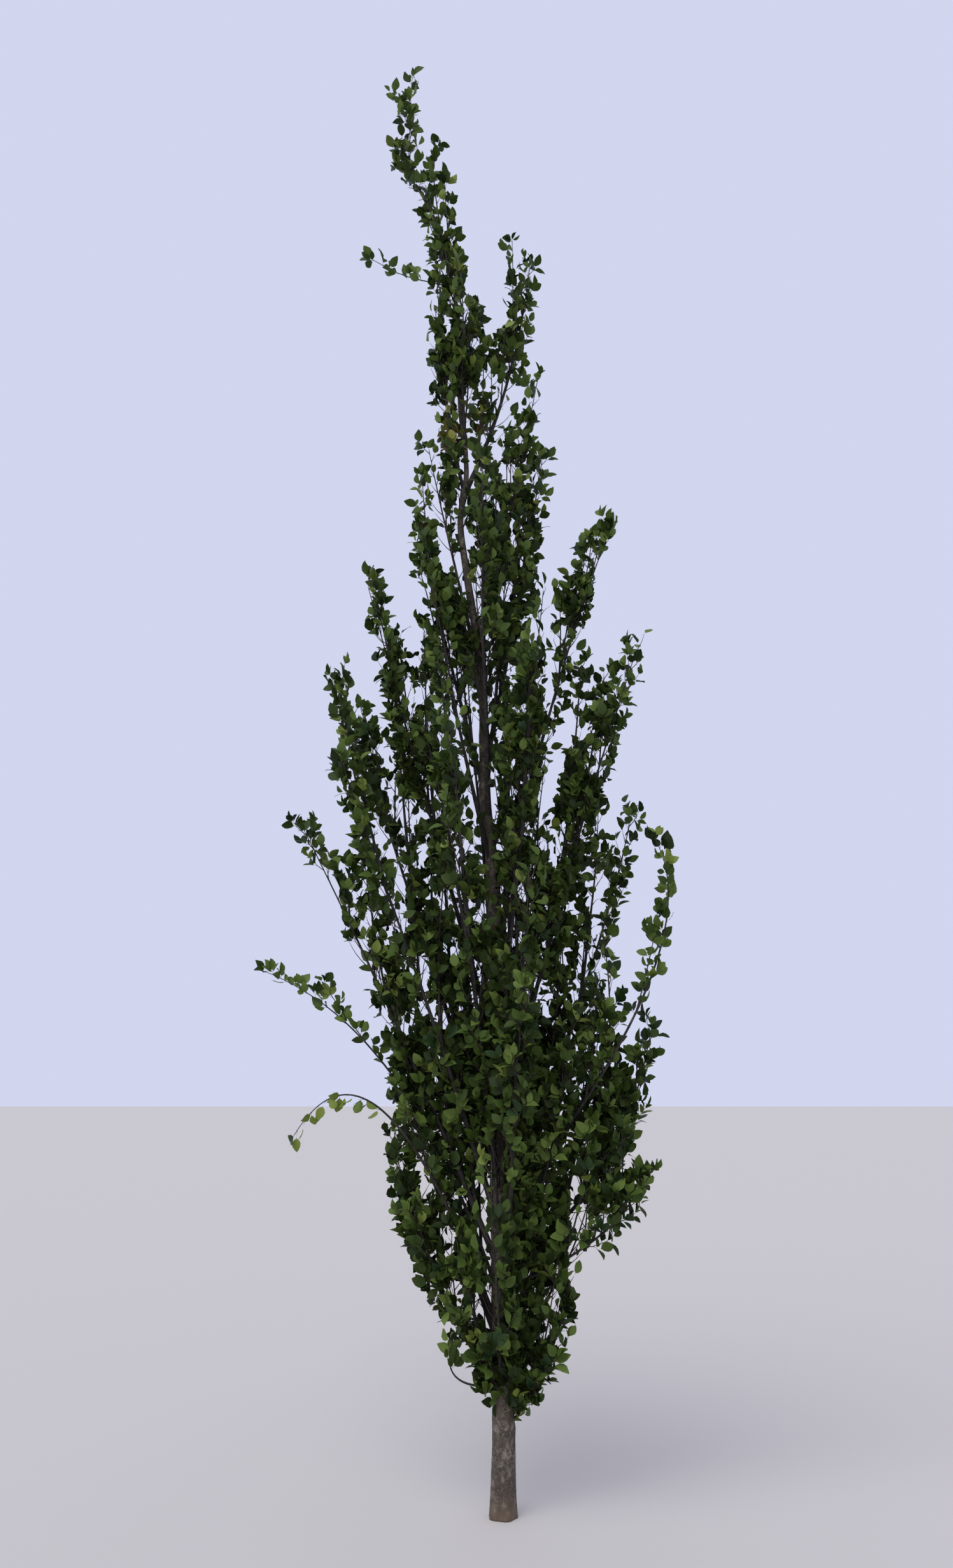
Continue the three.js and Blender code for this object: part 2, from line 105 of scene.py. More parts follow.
# Name, height on the trunk, compass angle from +X towards +Y, reach of the tip, height of the tip,
# radius of the foliage round the limb, share of the limb that is bare, and the bend.
BOUGHED_LIMBS = [
    ("left_low", 0.62, 192, 0.83, 1.36, 0.075, 0.5, (0.62, 1.75)),
    ("left_stray", 0.74, 171, 1.035, 2.04, 0.085, 0.5, (0.36, 0.82)),
    ("left_arch", 0.85, 183, 0.85, 2.655, 0.125, 0.36, (0.46, 0.52)),
    ("left_mid", 1.01, 206, 0.735, 2.885, 0.145, 0.36, (0.46, 0.5)),
    ("left_broad", 1.17, 170, 0.745, 3.38, 0.145, 0.36, (0.46, 0.5)),
    ("left_high", 1.68, 182, 0.59, 3.79, 0.14, 0.36, (0.48, 0.46)),
    ("right_low", 0.79, 348, 0.585, 1.26, 0.095, 0.34, (0.85, 0.4)),
    ("right_lift", 0.9, 14, 0.68, 1.87, 0.115, 0.34, (0.8, 0.2)),
    ("right_stray", 1.06, 352, 0.645, 2.59, 0.09, 0.4, (1.42, 0.7)),
    ("right_mid", 1.19, 22, 0.67, 2.81, 0.145, 0.36, (0.62, 0.38)),
    ("right_broad", 1.35, 345, 0.64, 3.44, 0.145, 0.36, (0.38, 0.46)),
    ("right_high", 2.06, 358, 0.548, 4.08, 0.13, 0.36, (0.26, 0.46)),
    ("front_low", 0.64, 282, 0.5, 2.4, 0.14, 0.36, (0.5, 0.45)),
    ("front_mid", 1.1, 246, 0.52, 3.05, 0.14, 0.36, (0.5, 0.45)),
    ("back_low", 0.7, 98, 0.51, 2.5, 0.145, 0.36, (0.5, 0.45)),
    ("back_mid", 1.24, 64, 0.55, 3.15, 0.145, 0.36, (0.5, 0.45)),
]
SLIGHT_LIMBS = [
    ("skirt_left", 0.48, 178, 0.44, 1.45, 0.1, 0.2, (0.85, 0.35)),
    ("skirt_right_1", 0.29, 352, 0.27, 0.9, 0.08, 0.3, (0.8, 0.35)),
    ("skirt_right_2", 0.54, 12, 0.4, 1.25, 0.1, 0.2, NARROW),
    ("skirt_front", 0.4, 262, 0.33, 1.35, 0.115, 0.1, NARROW),
    ("skirt_corner", 0.43, 218, 0.23, 1.05, 0.095, 0.2, NARROW),
    ("skirt_back", 0.47, 84, 0.34, 1.42, 0.115, 0.1, NARROW),
    ("left_body", 0.56, 158, 0.6, 2.14, 0.12, 0.35, (0.5, 0.45)),
    ("inner_front", 0.77, 330, 0.34, 1.88, 0.11, 0.1, NARROW),
    ("inner_back", 0.87, 32, 0.29, 2.05, 0.11, 0.1, NARROW),
    ("front_high", 1.72, 294, 0.47, 3.6, 0.14, 0.4, STEEP),
    ("back_high", 1.88, 108, 0.47, 3.75, 0.145, 0.4, STEEP),
    ("upper_left_1", 2.42, 214, 0.34, 3.76, 0.12, 0.3, STEEP),
    ("upper_left_2", 2.78, 176, 0.31, 4.09, 0.12, 0.3, STEEP),
    ("upper_left_3", 3.34, 190, 0.255, 4.46, 0.115, 0.2, STEEP),
    ("upper_right_1", 2.88, 20, 0.3, 4.47, 0.12, 0.3, STEEP),
    ("upper_right_2", 3.44, 350, 0.29, 4.8, 0.115, 0.2, STEEP),
    ("upper_right_3", 4.18, 8, 0.33, 5.51, 0.112, 0.15, (0.8, 0.45)),
    ("upper_front", 2.62, 264, 0.32, 4.26, 0.125, 0.3, STEEP),
    ("upper_back", 3.02, 88, 0.29, 4.52, 0.125, 0.3, STEEP),
    ("side_shoot", 5.29, 184, 0.415, 5.43, 0.06, 0.2, (0.5, 0.1)),
    ("top_left", 4.2, 200, 0.15, 5.2, 0.105, 0.1, NARROW),
    ("top_front", 4.4, 262, 0.13, 5.33, 0.105, 0.1, NARROW),
    ("top_back", 4.62, 45, 0.09, 5.24, 0.1, 0.1, NARROW),
    ("tip_front", 5.12, 205, 0.2, 5.85, 0.075, 0.1, (0.3, 0.5)),
    ("tip_back", 5.43, 165, 0.08, 6.08, 0.06, 0.1, NARROW),
    ("tip_right", 5.3, 200, 0.045, 5.96, 0.065, 0.1, NARROW),
]
LEADER_HEIGHT = 6.4
LEADER_LEAN = -0.01
LEADER_PLUME = 0.075
TREE_HEIGHT = 6.543

# The pieces that the foliage is joined into, by the first word of the limb's name.
CROWN_PARTS = {
    "lower": ("skirt", "inner"),
    "left": ("left",),
    "right": ("right",),
    "front": ("front",),
    "back": ("back",),
    "upper": ("upper",),
    "top": ("top", "tip", "side", "leader"),
}

# Twigs along a limb, spurs along a twig and leaves on a spur.
TWIG_SPACING_LOW = 0.03  # along limbs that end below the first of the two heights
TWIG_SPACING_HIGH = 0.035  # along limbs that end above the second
TWIG_SPACING_HEIGHTS = (1.2, 2.6)
TWIG_SPACING_TOP = 0.041  # along limbs that end above the top's height
TOP_HEIGHT = 4.6
TWIG_LENGTH = 1.35  # for each metre that the foliage stands out
LEAF_ALLOWANCE = 0.035  # how much shorter a twig is for the leaves that end it
TIP_ALLOWANCE = 0.06  # and a limb
STRAY_TIP_ALLOWANCE = 0.02
CROWN_SHAPE_LEAST = 0.62  # of the foliage's radius, at the tip of a limb
TWIG_SPLAY_FOOT = math.radians(54)
TWIG_SPLAY_TIP = math.radians(36)
TWIG_LIFT = 0.2  # how much a twig turns upwards at each node
TWIG_RADIUS = 0.0026
TWIG_TIP_RADIUS = 0.0009
NODE_SPACING = 0.03
ZIGZAG = 0.22
SPUR_LENGTH = 0.022
SPUR_SPLAY = math.radians(48)
LEAF_FAN = math.radians(60)
LEAF_RISE = 0.62  # how strongly leaves turn upwards
LEAF_CLOSE = 1.1  # how far the leaves of a spur face each other
GOLDEN_ANGLE = math.radians(137.5)
LEAFY_FROM = 0.45  # of the solid's bare share: finer twigs start nearer the trunk
SPUR_OWN_TINT = 0.7  # share of the spurs whose tint isn't their twig's
SHOOT_LEAVES_LEAST = 0.4  # a side shoot that keeps fewer of its leaves is left out
SHOOT_IN_GAPS_MOST = 0.34  # and so is one with more of its stem in gaps
SPACE_REACH = 1.8  # how far leaves may stand from their limb, of its foliage's radius
SPACE_OVERLAP = 0.02  # how far they may reach into another limb's space
SPUR_COUNTS_TIP = (1, 2)  # leaves on a spur near a twig's end
SPUR_COUNTS = (2, 3, 3, 4)  # and on any other
TWIG_TIP_SHARE = 0.25
LENGTH_CHANCES = (0.62, 1.2)  # a leaf's length, of the length that is usual at its height
DIRECTION_JITTER = 0.3
FACING_JITTER = 0.75

# Upright side shoots, which fill the crown between a limb and the trunk.
SIDE_SHOOT_LEAST_PLUME = 0.08
SIDE_SHOOT_STARTS = (0.12, 0.25, 0.38, 0.50, 0.62, 0.74)
SIDE_SHOOT_LENGTH = 0.56  # of its limb's length that is left there
SIDE_SHOOT_LEAN = 0.16
SIDE_SHOOT_PLUME = 0.085
SIDE_SHOOT_BARE = 0.08

# Stray shoots stand out of the crown. They are slender and carry tufts of leaves far apart.
STRAYS = ("left_low", "left_stray", "right_stray", "side_shoot")
STRAY_THICKNESS = 0.6
TUFT_SPACING = 0.044
TUFT_LENGTH = 0.022
DROOPING = "left_low"
DROOPING_SPACING = 0.06
DROOPING_RISE = -0.6
# The limb that a thinner stray shoot leaves, where it leaves it, and where its tip is.
STRAY_SHOOTS = (
    ("left_stray", 0.6, -0.761, 0.12, 1.996),
    ("right_stray", 0.42, 0.647, -0.1, 2.253),
    ("leader", 0.55, -0.54, 0.01, 6.43),
    ("leader", 0.7, -0.42, -0.01, 6.51),
    ("upper_right_3", 0.55, 0.072, -0.02, 5.54),
    ("tip_back", 0.85, -0.285, 0.0, 6.11),
    ("left_broad", 0.72, -0.775, 0.12, 3.335),
    ("left_mid", 0.62, -0.68, -0.22, 2.84),
)
CURLED_TWIG = ((0.0, -0.02, 0.455), (-0.300, -0.05, 0.430), (-0.155, -0.03, 0.690))
# Further leafy shoots where the crown is full: the limb that carries one, where it leaves it, its tip,
# and the radius of its foliage.
FILLING_SHOOTS = (
    ("skirt_right_1", 0.1, 0.14, -0.05, 0.5, 0.055), ("skirt_right_1", 0.16, 0.19, 0.03, 0.63, 0.06),
    ("skirt_right_1", 0.05, 0.06, -0.08, 0.46, 0.045), ("skirt_front", 0.01, -0.12, -0.05, 0.5, 0.05),
    ("skirt_front", 0.0, -0.09, 0.02, 0.52, 0.05), ("skirt_front", 0.0, -0.1, -0.08, 0.46, 0.045),
    ("skirt_front", 0.03, 0.05, -0.1, 0.6, 0.055), ("skirt_front", 0.02, -0.06, -0.09, 0.58, 0.055),
    ("skirt_front", 0.08, 0.1, -0.1, 0.72, 0.06), ("skirt_corner", 0.02, -0.14, -0.05, 0.6, 0.055),
    ("skirt_corner", 0.06, -0.17, -0.07, 0.72, 0.06), ("skirt_back", 0.02, -0.08, 0.07, 0.63, 0.06),
    ("skirt_back", 0.03, 0.11, 0.09, 0.68, 0.06), ("skirt_right_1", 0.3, 0.22, -0.08, 0.98, 0.07),
    ("skirt_right_1", 0.55, 0.25, 0.06, 0.86, 0.06), ("skirt_left", 0.2, -0.26, -0.06, 0.98, 0.075),
    ("skirt_left", 0.32, -0.36, -0.12, 1.15, 0.08), ("skirt_left", 0.45, -0.41, 0.06, 1.22, 0.075),
    ("right_low", 0.28, 0.34, -0.12, 1.45, 0.085), ("right_low", 0.45, 0.41, 0.08, 1.5, 0.08),
    ("right_low", 0.62, 0.47, -0.08, 1.45, 0.07), ("right_lift", 0.25, 0.36, 0.14, 1.85, 0.09),
    ("right_lift", 0.35, 0.42, -0.08, 1.9, 0.09), ("right_lift", 0.5, 0.45, 0.1, 1.78, 0.085),
    ("right_stray", 0.22, 0.39, -0.06, 2.1, 0.09), ("right_stray", 0.3, 0.42, 0.08, 2.3, 0.085),
    ("left_low", 0.22, -0.45, -0.05, 1.6, 0.085), ("left_low", 0.3, -0.42, 0.12, 1.75, 0.085),
    ("left_stray", 0.34, -0.49, -0.05, 2.12, 0.085), ("left_arch", 0.55, -0.58, -0.06, 2.58, 0.09),
    ("left_mid", 0.6, -0.6, -0.14, 2.98, 0.09), ("left_mid", 0.7, -0.66, -0.24, 3.08, 0.08),
    ("left_broad", 0.6, -0.62, 0.06, 3.22, 0.09), ("left_broad", 0.5, -0.45, -0.04, 3.3, 0.09),
    ("left_high", 0.45, -0.33, -0.05, 3.58, 0.09), ("left_high", 0.6, -0.46, 0.06, 3.6, 0.08),
    ("left_high", 0.7, -0.575, -0.03, 3.8, 0.07), ("front_mid", 0.6, -0.25, -0.22, 3.22, 0.085),
    ("front_mid", 0.5, -0.33, -0.2, 3.1, 0.085), ("upper_left_1", 0.5, -0.37, -0.06, 3.86, 0.08),
    ("upper_left_1", 0.35, -0.26, 0.06, 3.7, 0.08), ("right_mid", 0.6, 0.5, 0.1, 2.78, 0.09),
    ("right_broad", 0.4, 0.34, 0.02, 3.05, 0.09), ("right_broad", 0.55, 0.47, -0.06, 3.35, 0.09),
    ("right_broad", 0.45, 0.36, -0.1, 3.42, 0.085), ("right_mid", 0.5, 0.43, 0.02, 2.76, 0.085),
    ("right_mid", 0.6, 0.46, -0.04, 2.88, 0.08), ("right_broad", 0.35, 0.4, -0.08, 2.66, 0.085),
    ("right_high", 0.25, 0.24, 0.04, 3.12, 0.07), ("right_high", 0.45, 0.29, 0.06, 3.6, 0.085),
    ("right_high", 0.6, 0.35, -0.04, 3.84, 0.085), ("right_high", 0.75, 0.44, 0.04, 4.04, 0.08),
    ("right_high", 0.7, 0.4, -0.02, 3.95, 0.075), ("right_high", 0.82, 0.48, -0.02, 4.03, 0.065),
    ("upper_left_2", 0.75, -0.355, 0.0, 4.34, 0.06), ("upper_left_3", 0.45, -0.35, 0.03, 4.45, 0.055),
    ("upper_left_1", 0.7, -0.365, 0.0, 4.1, 0.065), ("leader", 0.04, -0.515, 0.02, 6.15, 0.055),
    ("tip_front", 0.05, -0.21, -0.02, 5.5, 0.06), ("tip_front", 0.05, -0.32, 0.02, 5.52, 0.06),
    ("top_left", 0.6, -0.29, -0.02, 5.34, 0.06), ("tip_front", 0.75, -0.505, 0.01, 6.02, 0.05),
    ("front_mid", 0.7, -0.26, -0.26, 3.32, 0.08), ("upper_left_1", 0.2, -0.2, -0.1, 3.5, 0.08),
    ("tip_front", 0.25, -0.36, 0.03, 5.74, 0.06), ("back_mid", 0.3, 0.08, 0.36, 2.55, 0.09),
    ("back_mid", 0.45, 0.18, 0.38, 2.95, 0.09), ("back_low", 0.4, -0.22, 0.4, 2.3, 0.085),
    ("back_high", 0.3, -0.02, 0.3, 3.05, 0.09), ("back_high", 0.45, -0.18, 0.34, 3.4, 0.09),
    ("back_high", 0.6, -0.2, 0.4, 3.7, 0.08), ("upper_back", 0.4, -0.06, 0.24, 3.95, 0.085),
    ("upper_back", 0.6, -0.13, 0.26, 4.3, 0.08), ("front_high", 0.35, 0.02, -0.32, 3.0, 0.085),
    ("front_high", 0.55, 0.12, -0.38, 3.3, 0.08), ("upper_front", 0.45, -0.12, -0.26, 3.8, 0.08),
    ("back_mid", 0.6, 0.22, 0.6, 2.75, 0.07), ("back_mid", 0.75, 0.12, 0.58, 3.05, 0.07),
    ("back_low", 0.6, -0.12, 0.61, 2.15, 0.07), ("back_low", 0.5, -0.2, 0.55, 1.95, 0.07),
    ("front_mid", 0.6, -0.22, -0.57, 2.6, 0.065), ("front_low", 0.6, 0.1, -0.58, 1.95, 0.065),
)

# Short shoots that stand on the trunk itself.
TRUNK_SHOOT_HEIGHTS = (0.30, 5.60)
TRUNK_SHOOT_SPACING = 0.095
TRUNK_SHOOT_LENGTH_LOW = 0.36
TRUNK_SHOOT_LENGTH_HIGH = 0.17
TRUNK_SHOOT_LEAN = 0.42
TRUNK_SHOOT_PLUME = 0.075

GAP_LEAVES_KEPT = 0.06  # share of the leaves in a gap that stay

# Where the crown is open and sky or the trunk shows in the front view: both ends of each gap's middle
# line on the trunk's plane, sideways and height, and its width.
GAPS = (
    (-0.045, 2.5, -0.035, 2.4, 0.03), (-0.06, 2.63, -0.072, 3.2, 0.05),
    (-0.072, 3.2, -0.08, 3.42, 0.03), (-0.1, 3.55, -0.13, 3.74, 0.03),
    (-0.145, 3.82, -0.17, 4.05, 0.03), (-0.15, 4.24, -0.145, 4.4, 0.025),
    (-0.165, 4.56, -0.18, 4.68, 0.025), (-0.03, 2.86, -0.025, 2.66, 0.03),
    (-0.1, 2.86, -0.095, 2.68, 0.02), (0.25, 2.93, 0.2, 2.78, 0.065),
    (0.2, 2.78, 0.19, 2.56, 0.065), (0.1, 2.61, 0.19, 2.6, 0.045),
    (0.225, 2.56, 0.225, 2.47, 0.025), (0.275, 2.63, 0.26, 2.53, 0.025),
    (0.345, 2.65, 0.345, 2.59, 0.025), (0.03, 2.36, 0.02, 2.28, 0.025),
    (0.08, 2.38, 0.11, 2.27, 0.025), (0.05, 2.24, 0.06, 2.1, 0.03),
    (0.425, 2.4, 0.385, 2.31, 0.04), (0.41, 2.3, 0.395, 2.14, 0.03),
    (-0.42, 2.45, -0.42, 2.3, 0.045), (-0.41, 2.26, -0.41, 2.2, 0.045),
    (-0.22, 2.36, -0.22, 2.3, 0.025), (-0.19, 2.36, -0.165, 2.21, 0.03),
    (-0.13, 2.3, -0.09, 2.24, 0.025), (-0.175, 2.54, -0.17, 2.48, 0.04),
    (-0.21, 2.59, -0.15, 2.56, 0.03), (-0.095, 2.6, -0.075, 2.48, 0.025),
    (-0.135, 2.78, -0.13, 2.65, 0.045), (-0.145, 2.92, -0.145, 2.87, 0.04),
    (-0.29, 2.79, -0.27, 2.69, 0.045), (-0.395, 2.65, -0.39, 2.59, 0.045),
    (-0.46, 2.79, -0.43, 2.68, 0.045), (-0.52, 2.6, -0.46, 2.51, 0.045),
    (-0.43, 3.85, -0.385, 3.38, 0.045), (-0.33, 3.76, -0.35, 3.65, 0.045),
    (-0.25, 3.52, -0.215, 3.38, 0.02), (-0.21, 3.36, -0.185, 3.12, 0.035),
    (-0.135, 3.24, -0.1, 3.02, 0.045), (-0.185, 3.06, -0.16, 2.95, 0.03),
    (-0.035, 3.38, -0.005, 3.2, 0.03), (0.23, 3.0, 0.34, 3.05, 0.075),
    (0.3, 3.13, 0.33, 3.08, 0.045), (0.22, 3.32, 0.215, 3.15, 0.03),
    (0.235, 3.78, 0.2, 3.5, 0.04), (0.29, 3.52, 0.24, 3.44, 0.03),
    (0.43, 3.46, 0.44, 3.3, 0.04), (-0.41, 3.29, -0.38, 3.16, 0.03),
    (-0.18, 3.84, -0.16, 3.7, 0.03), (-0.27, 4.12, -0.235, 3.93, 0.035),
    (-0.235, 3.95, -0.235, 3.8, 0.035), (-0.29, 4.27, -0.275, 4.1, 0.025),
    (-0.125, 4.37, -0.12, 4.24, 0.02), (-0.05, 4.17, 0.0, 4.12, 0.03),
    (0.065, 4.04, 0.065, 3.92, 0.02), (0.04, 4.74, 0.03, 4.56, 0.04),
    (-0.13, 4.7, -0.15, 4.65, 0.025), (-0.07, 4.8, -0.07, 4.73, 0.025),
    (-0.1, 2.06, -0.1, 1.88, 0.03), (0.18, 1.93, 0.19, 1.84, 0.025),
    (0.35, 2.1, 0.33, 1.98, 0.03), (-0.32, 2.08, -0.31, 1.95, 0.025),
    (-0.045, 0.66, -0.045, 0.8, 0.035), (-0.035, 0.86, -0.03, 1.02, 0.04),
    (-0.02, 1.12, -0.01, 1.36, 0.04), (-0.08, 0.93, -0.065, 1.2, 0.02),
    (-0.095, 0.75, -0.09, 0.7, 0.035), (-0.165, 0.81, -0.165, 0.75, 0.025),
    (-0.2, 1.0, -0.21, 0.93, 0.035), (-0.3, 1.24, -0.305, 1.14, 0.035),
    (0.3, 1.18, 0.31, 1.04, 0.06), (0.29, 0.93, 0.29, 0.84, 0.05),
    (0.205, 0.78, 0.2, 0.73, 0.035), (0.175, 0.66, 0.165, 0.63, 0.03),
    (-0.74, 2.36, -0.71, 2.12, 0.11), (0.66, 3.5, 0.73, 3.5, 0.11),
    (0.68, 3.4, 0.68, 3.2, 0.08), (0.48, 3.86, 0.46, 3.56, 0.08),
    (-0.66, 3.9, -0.64, 3.6, 0.06), (0.45, 3.5, 0.45, 3.34, 0.05),
    (0.59, 4.14, 0.585, 3.9, 0.1), (-0.59, 2.11, -0.57, 1.96, 0.08),
    (-0.095, 5.46, -0.115, 5.29, 0.07), (-0.155, 5.22, -0.155, 5.08, 0.02),
    (-0.398, 5.27, -0.403, 4.98, 0.06), (-0.01, 5.06, 0.03, 5.1, 0.045),
    (-0.255, 5.42, -0.25, 5.36, 0.02), (-0.3, 5.22, -0.295, 5.14, 0.022),
    (-0.235, 5.1, -0.24, 5.0, 0.022), (-0.31, 5.02, -0.305, 4.94, 0.022),
    (-0.215, 5.24, -0.21, 5.17, 0.018), (-0.33, 5.62, -0.325, 5.57, 0.02),
    (-0.25, 5.67, -0.255, 5.61, 0.02), (-0.295, 5.78, -0.29, 5.73, 0.018),
    (-0.345, 5.89, -0.34, 5.85, 0.02), (-0.13, 4.93, -0.1, 4.98, 0.03),
    (0.55, 3.9, 0.555, 3.76, 0.09),
)

# Small holes, dealt out by seed over the middle of the crown: how many, between which heights, how far
# from the trunk, and their lengths and widths.
HOLES = 230
HOLE_HEIGHTS = (1.75, 4.9)
HOLE_REACH = 0.58
HOLE_LENGTHS = (0.0, 0.06)
HOLE_WIDTHS = (0.016, 0.036)

# The crown part that a shoot on the trunk belongs to, up to each height.
TRUNK_SHOOT_PARTS = ((1.4, "inner"), (2.6, "front"), (3.4, "back"), (4.5, "upper"), (9.9, "top"))

# Leaves.
LEAF_LENGTH_LOW = 0.05
LEAF_LENGTH_HIGH = 0.054
LEAF_WIDTH = 0.7
PETIOLE = 0.15  # of the leaf's length
STALK_WIDTH = 0.03
LEAF_ROWS = (0.0, 0.13, 0.37, 0.63, 0.86)  # places along the blade, of its length

# Tint, its colour, and its share of the sprays at a limb's foot and at its tip.
# The lighter tints, whose shares grow towards a limb's tip, are partly the colour of young leaves and
# partly painted highlight of the sky-lit outer crown.
TINTS = [
    ("deep_green", (0.017, 0.030, 0.006), 0.28, 0.10),
    ("green", (0.036, 0.060, 0.011), 0.34, 0.26),
    ("mid_green", (0.062, 0.100, 0.018), 0.24, 0.34),
    ("fresh_green", (0.110, 0.160, 0.032), 0.09, 0.24),
    ("yellow_green", (0.165, 0.215, 0.040), 0.01, 0.04),
    ("blue_green", (0.028, 0.054, 0.018), 0.04, 0.02),
    ("turned_yellow", (0.185, 0.190, 0.035), 0.0, 0.0),
    ("turned_russet", (0.120, 0.072, 0.034), 0.0, 0.0),
]
# The drooping twig's leaves take only the lightest tints: painted light shining through backlit leaves.
BACKLIT_DROOPING_TINTS = (3, 4, 4)
# Some leaves turn early: the middle and size of each such place, and the share of its sprays.
TURNED_PLACES = (((-0.17, -0.02, 4.48), 0.13), ((0.17, 0.0, 4.13), 0.05))
TURNED_TINTS = (6, 6, 7)
TURNED_SHARE = 0.35


def lerp(a, b, share):
    return a + (b - a) * share


def chance(seed):
    """A seeded number from 0 to 1."""
    wild = math.sin(seed * 12.9898) * 43758.5453
    return wild - math.floor(wild)


def square_to(along, across):
    """The direction that lies across a path, kept as near as can be to the one given."""
    return (across - along * across.dot(along)).normalized()


def turned(direction, axis, angle):
    return Matrix.Rotation(angle, 3, axis) @ direction


def trunk_at(height):
    """The trunk's centre and radius at a height, on smooth curves through its stations."""
    last = len(TRUNK_STATIONS) - 1
    i = next((k for k in range(last) if TRUNK_STATIONS[k + 1][0] > height), last - 1)
    before = TRUNK_STATIONS[max(i - 1, 0)]
    start, end = TRUNK_STATIONS[i], TRUNK_STATIONS[i + 1]
    after = TRUNK_STATIONS[min(i + 2, last)]
    span = end[0] - start[0]
    s = (height - start[0]) / span

    def smooth(k):
        slope_in = (end[k] - before[k]) / (end[0] - before[0]) * span
        slope_out = (after[k] - start[k]) / (after[0] - start[0]) * span
        return (
            (2 * s**3 - 3 * s**2 + 1) * start[k]
            + (s**3 - 2 * s**2 + s) * slope_in
            + (3 * s**2 - 2 * s**3) * end[k]
            + (s**3 - s**2) * slope_out
        )

    return Vector((smooth(1), smooth(2), height)), smooth(3)


class Limb:
    """One limb: a curve from the trunk's centre to the tip of its shoot, thinning all the way."""

    def __init__(self, name, foot, knee, tip, thick, plume, bare, sideways, wander=0.0, stray=False):
        self.name = name
        self.foot = foot
        self.knee = knee
        self.tip = tip
        self.thick = thick
        self.plume = plume
        self.bare = bare
        self.sideways = sideways
        self.wander = wander
        self.stray = stray
        self.phase = foot.z * 1000
        points = [self.at(k / 24) for k in range(25)]
        self.length = sum((b - a).length for a, b in zip(points, points[1:]))
        self.leafy_end = 1 - (STRAY_TIP_ALLOWANCE if stray else TIP_ALLOWANCE) / self.length
        self.drawn_end = self.leafy_end
        self.stem_points = np.array([self.at(lerp(bare * LEAFY_FROM, 1, k / 8)) for k in range(9)])

    def at(self, t):
        curve = self.foot * (1 - t) ** 2 + self.knee * 2 * t * (1 - t) + self.tip * t**2
        swing = math.sin(t * WANDERS * 2 * math.pi + self.phase) * t * (1.5 - t)
        return curve + self.sideways * self.wander * swing

    def heading(self, t):
        return (self.at(min(t + 0.005, 1)) - self.at(max(t - 0.005, 0))).normalized()

    def radius(self, t):
        collar = 1 + COLLAR * math.exp(-t / COLLAR_LENGTH)
        return TIP_RADIUS + (self.thick - TIP_RADIUS) * (1 - t) ** LIMB_TAPER * collar


def make_limb(row):
    """A limb of the trunk, from its row of sizes."""
    name, start, compass, reach, top, plume, bare, bend = row
    angle = math.radians(compass)
    outward = Vector((math.cos(angle), math.sin(angle), 0))
    sideways = Vector((-math.sin(angle), math.cos(angle), 0))
    foot, _ = trunk_at(start)
    knee = foot + outward * reach * bend[0] + UP * (top - start) * bend[1]
    tip = foot + outward * reach
    tip.z = top
    rough_length = (knee - foot).length * 0.5 + (tip - knee).length * 0.5 + (tip - foot).length * 0.5
    thick = min(max(rough_length * THICKNESS_PER_LENGTH, LIMB_RADIUS_LEAST), LIMB_RADIUS_MOST)
    stray = name in STRAYS
    if stray:
        thick *= STRAY_THICKNESS
    return Limb(name, foot, knee, tip, thick, plume, bare, sideways, WANDER, stray)


def make_leader():
    """The leader, which goes on from the trunk's top."""
    foot, radius = trunk_at(TRUNK_TOP)
    rise = LEADER_HEIGHT - TRUNK_TOP
    tip = Vector((foot.x + LEADER_LEAN, foot.y, LEADER_HEIGHT))
    knee = foot + UP * rise * 0.5
    thick = radius / (1 + COLLAR)
    return Limb("leader", foot, knee, tip, thick, LEADER_PLUME, 0.0, Vector((0, 1, 0)))


def make_shoot(limb, start, tip, plume):
    """A leafy shoot that leaves a limb with the limb's own heading and bends up to its tip."""
    foot = limb.at(start)
    length = (tip - foot).length
    knee = foot.lerp(tip, 0.4) + limb.heading(start) * length * 0.12
    thick = max(length * THICKNESS_PER_LENGTH, 0.004)
    return Limb(limb.name, foot, knee, tip, thick, plume, SIDE_SHOOT_BARE, limb.sideways, WANDER)


def make_side_shoots(limb, number):
    """Shoots that rise steeply from the limb's lower half, to one side and the other by turns."""
    shoots = []
    for k, start in enumerate(SIDE_SHOOT_STARTS):
        seed = number * 7.7 + k * 3.3
        length = limb.length * (1 - start) * SIDE_SHOOT_LENGTH * lerp(0.8, 1.25, chance(seed))
        aside = limb.sideways * (1 if (k + number) % 2 else -1) * lerp(0.5, 1.5, chance(seed + 1))
        lean = (aside + limb.heading(start) * 0.6) * SIDE_SHOOT_LEAN
        tip = limb.at(start) + (UP + lean).normalized() * length
        shoots.append(make_shoot(limb, start, tip, min(SIDE_SHOOT_PLUME, limb.plume * 0.8)))
    return shoots


def limb_named(name):
    return next(limb for limb in limbs if limb.name == name)


def make_stray_shoot(row):
    """A slender shoot that leaves a limb and stands out of the crown."""
    name, start, *tip = row
    limb = limb_named(name)
    foot, tip = limb.at(start), Vector(tip)
    knee = foot.lerp(tip, 0.5) + limb.heading(start) * 0.06
    thick = limb.radius(start) * 0.7
    return Limb(name, foot, knee, tip, thick, limb.plume, 0.1, limb.sideways, WANDER, True)


def make_curled_twig():
    """A twig that stands out level to the left, low on the trunk, and curls up at its end."""
    foot, knee, tip = (Vector(point) for point in CURLED_TWIG)
    return Limb("skirt_curled", foot, knee, tip, 0.0056, 0.05, 0.5, Vector((0, 1, 0)), 0.004, True)


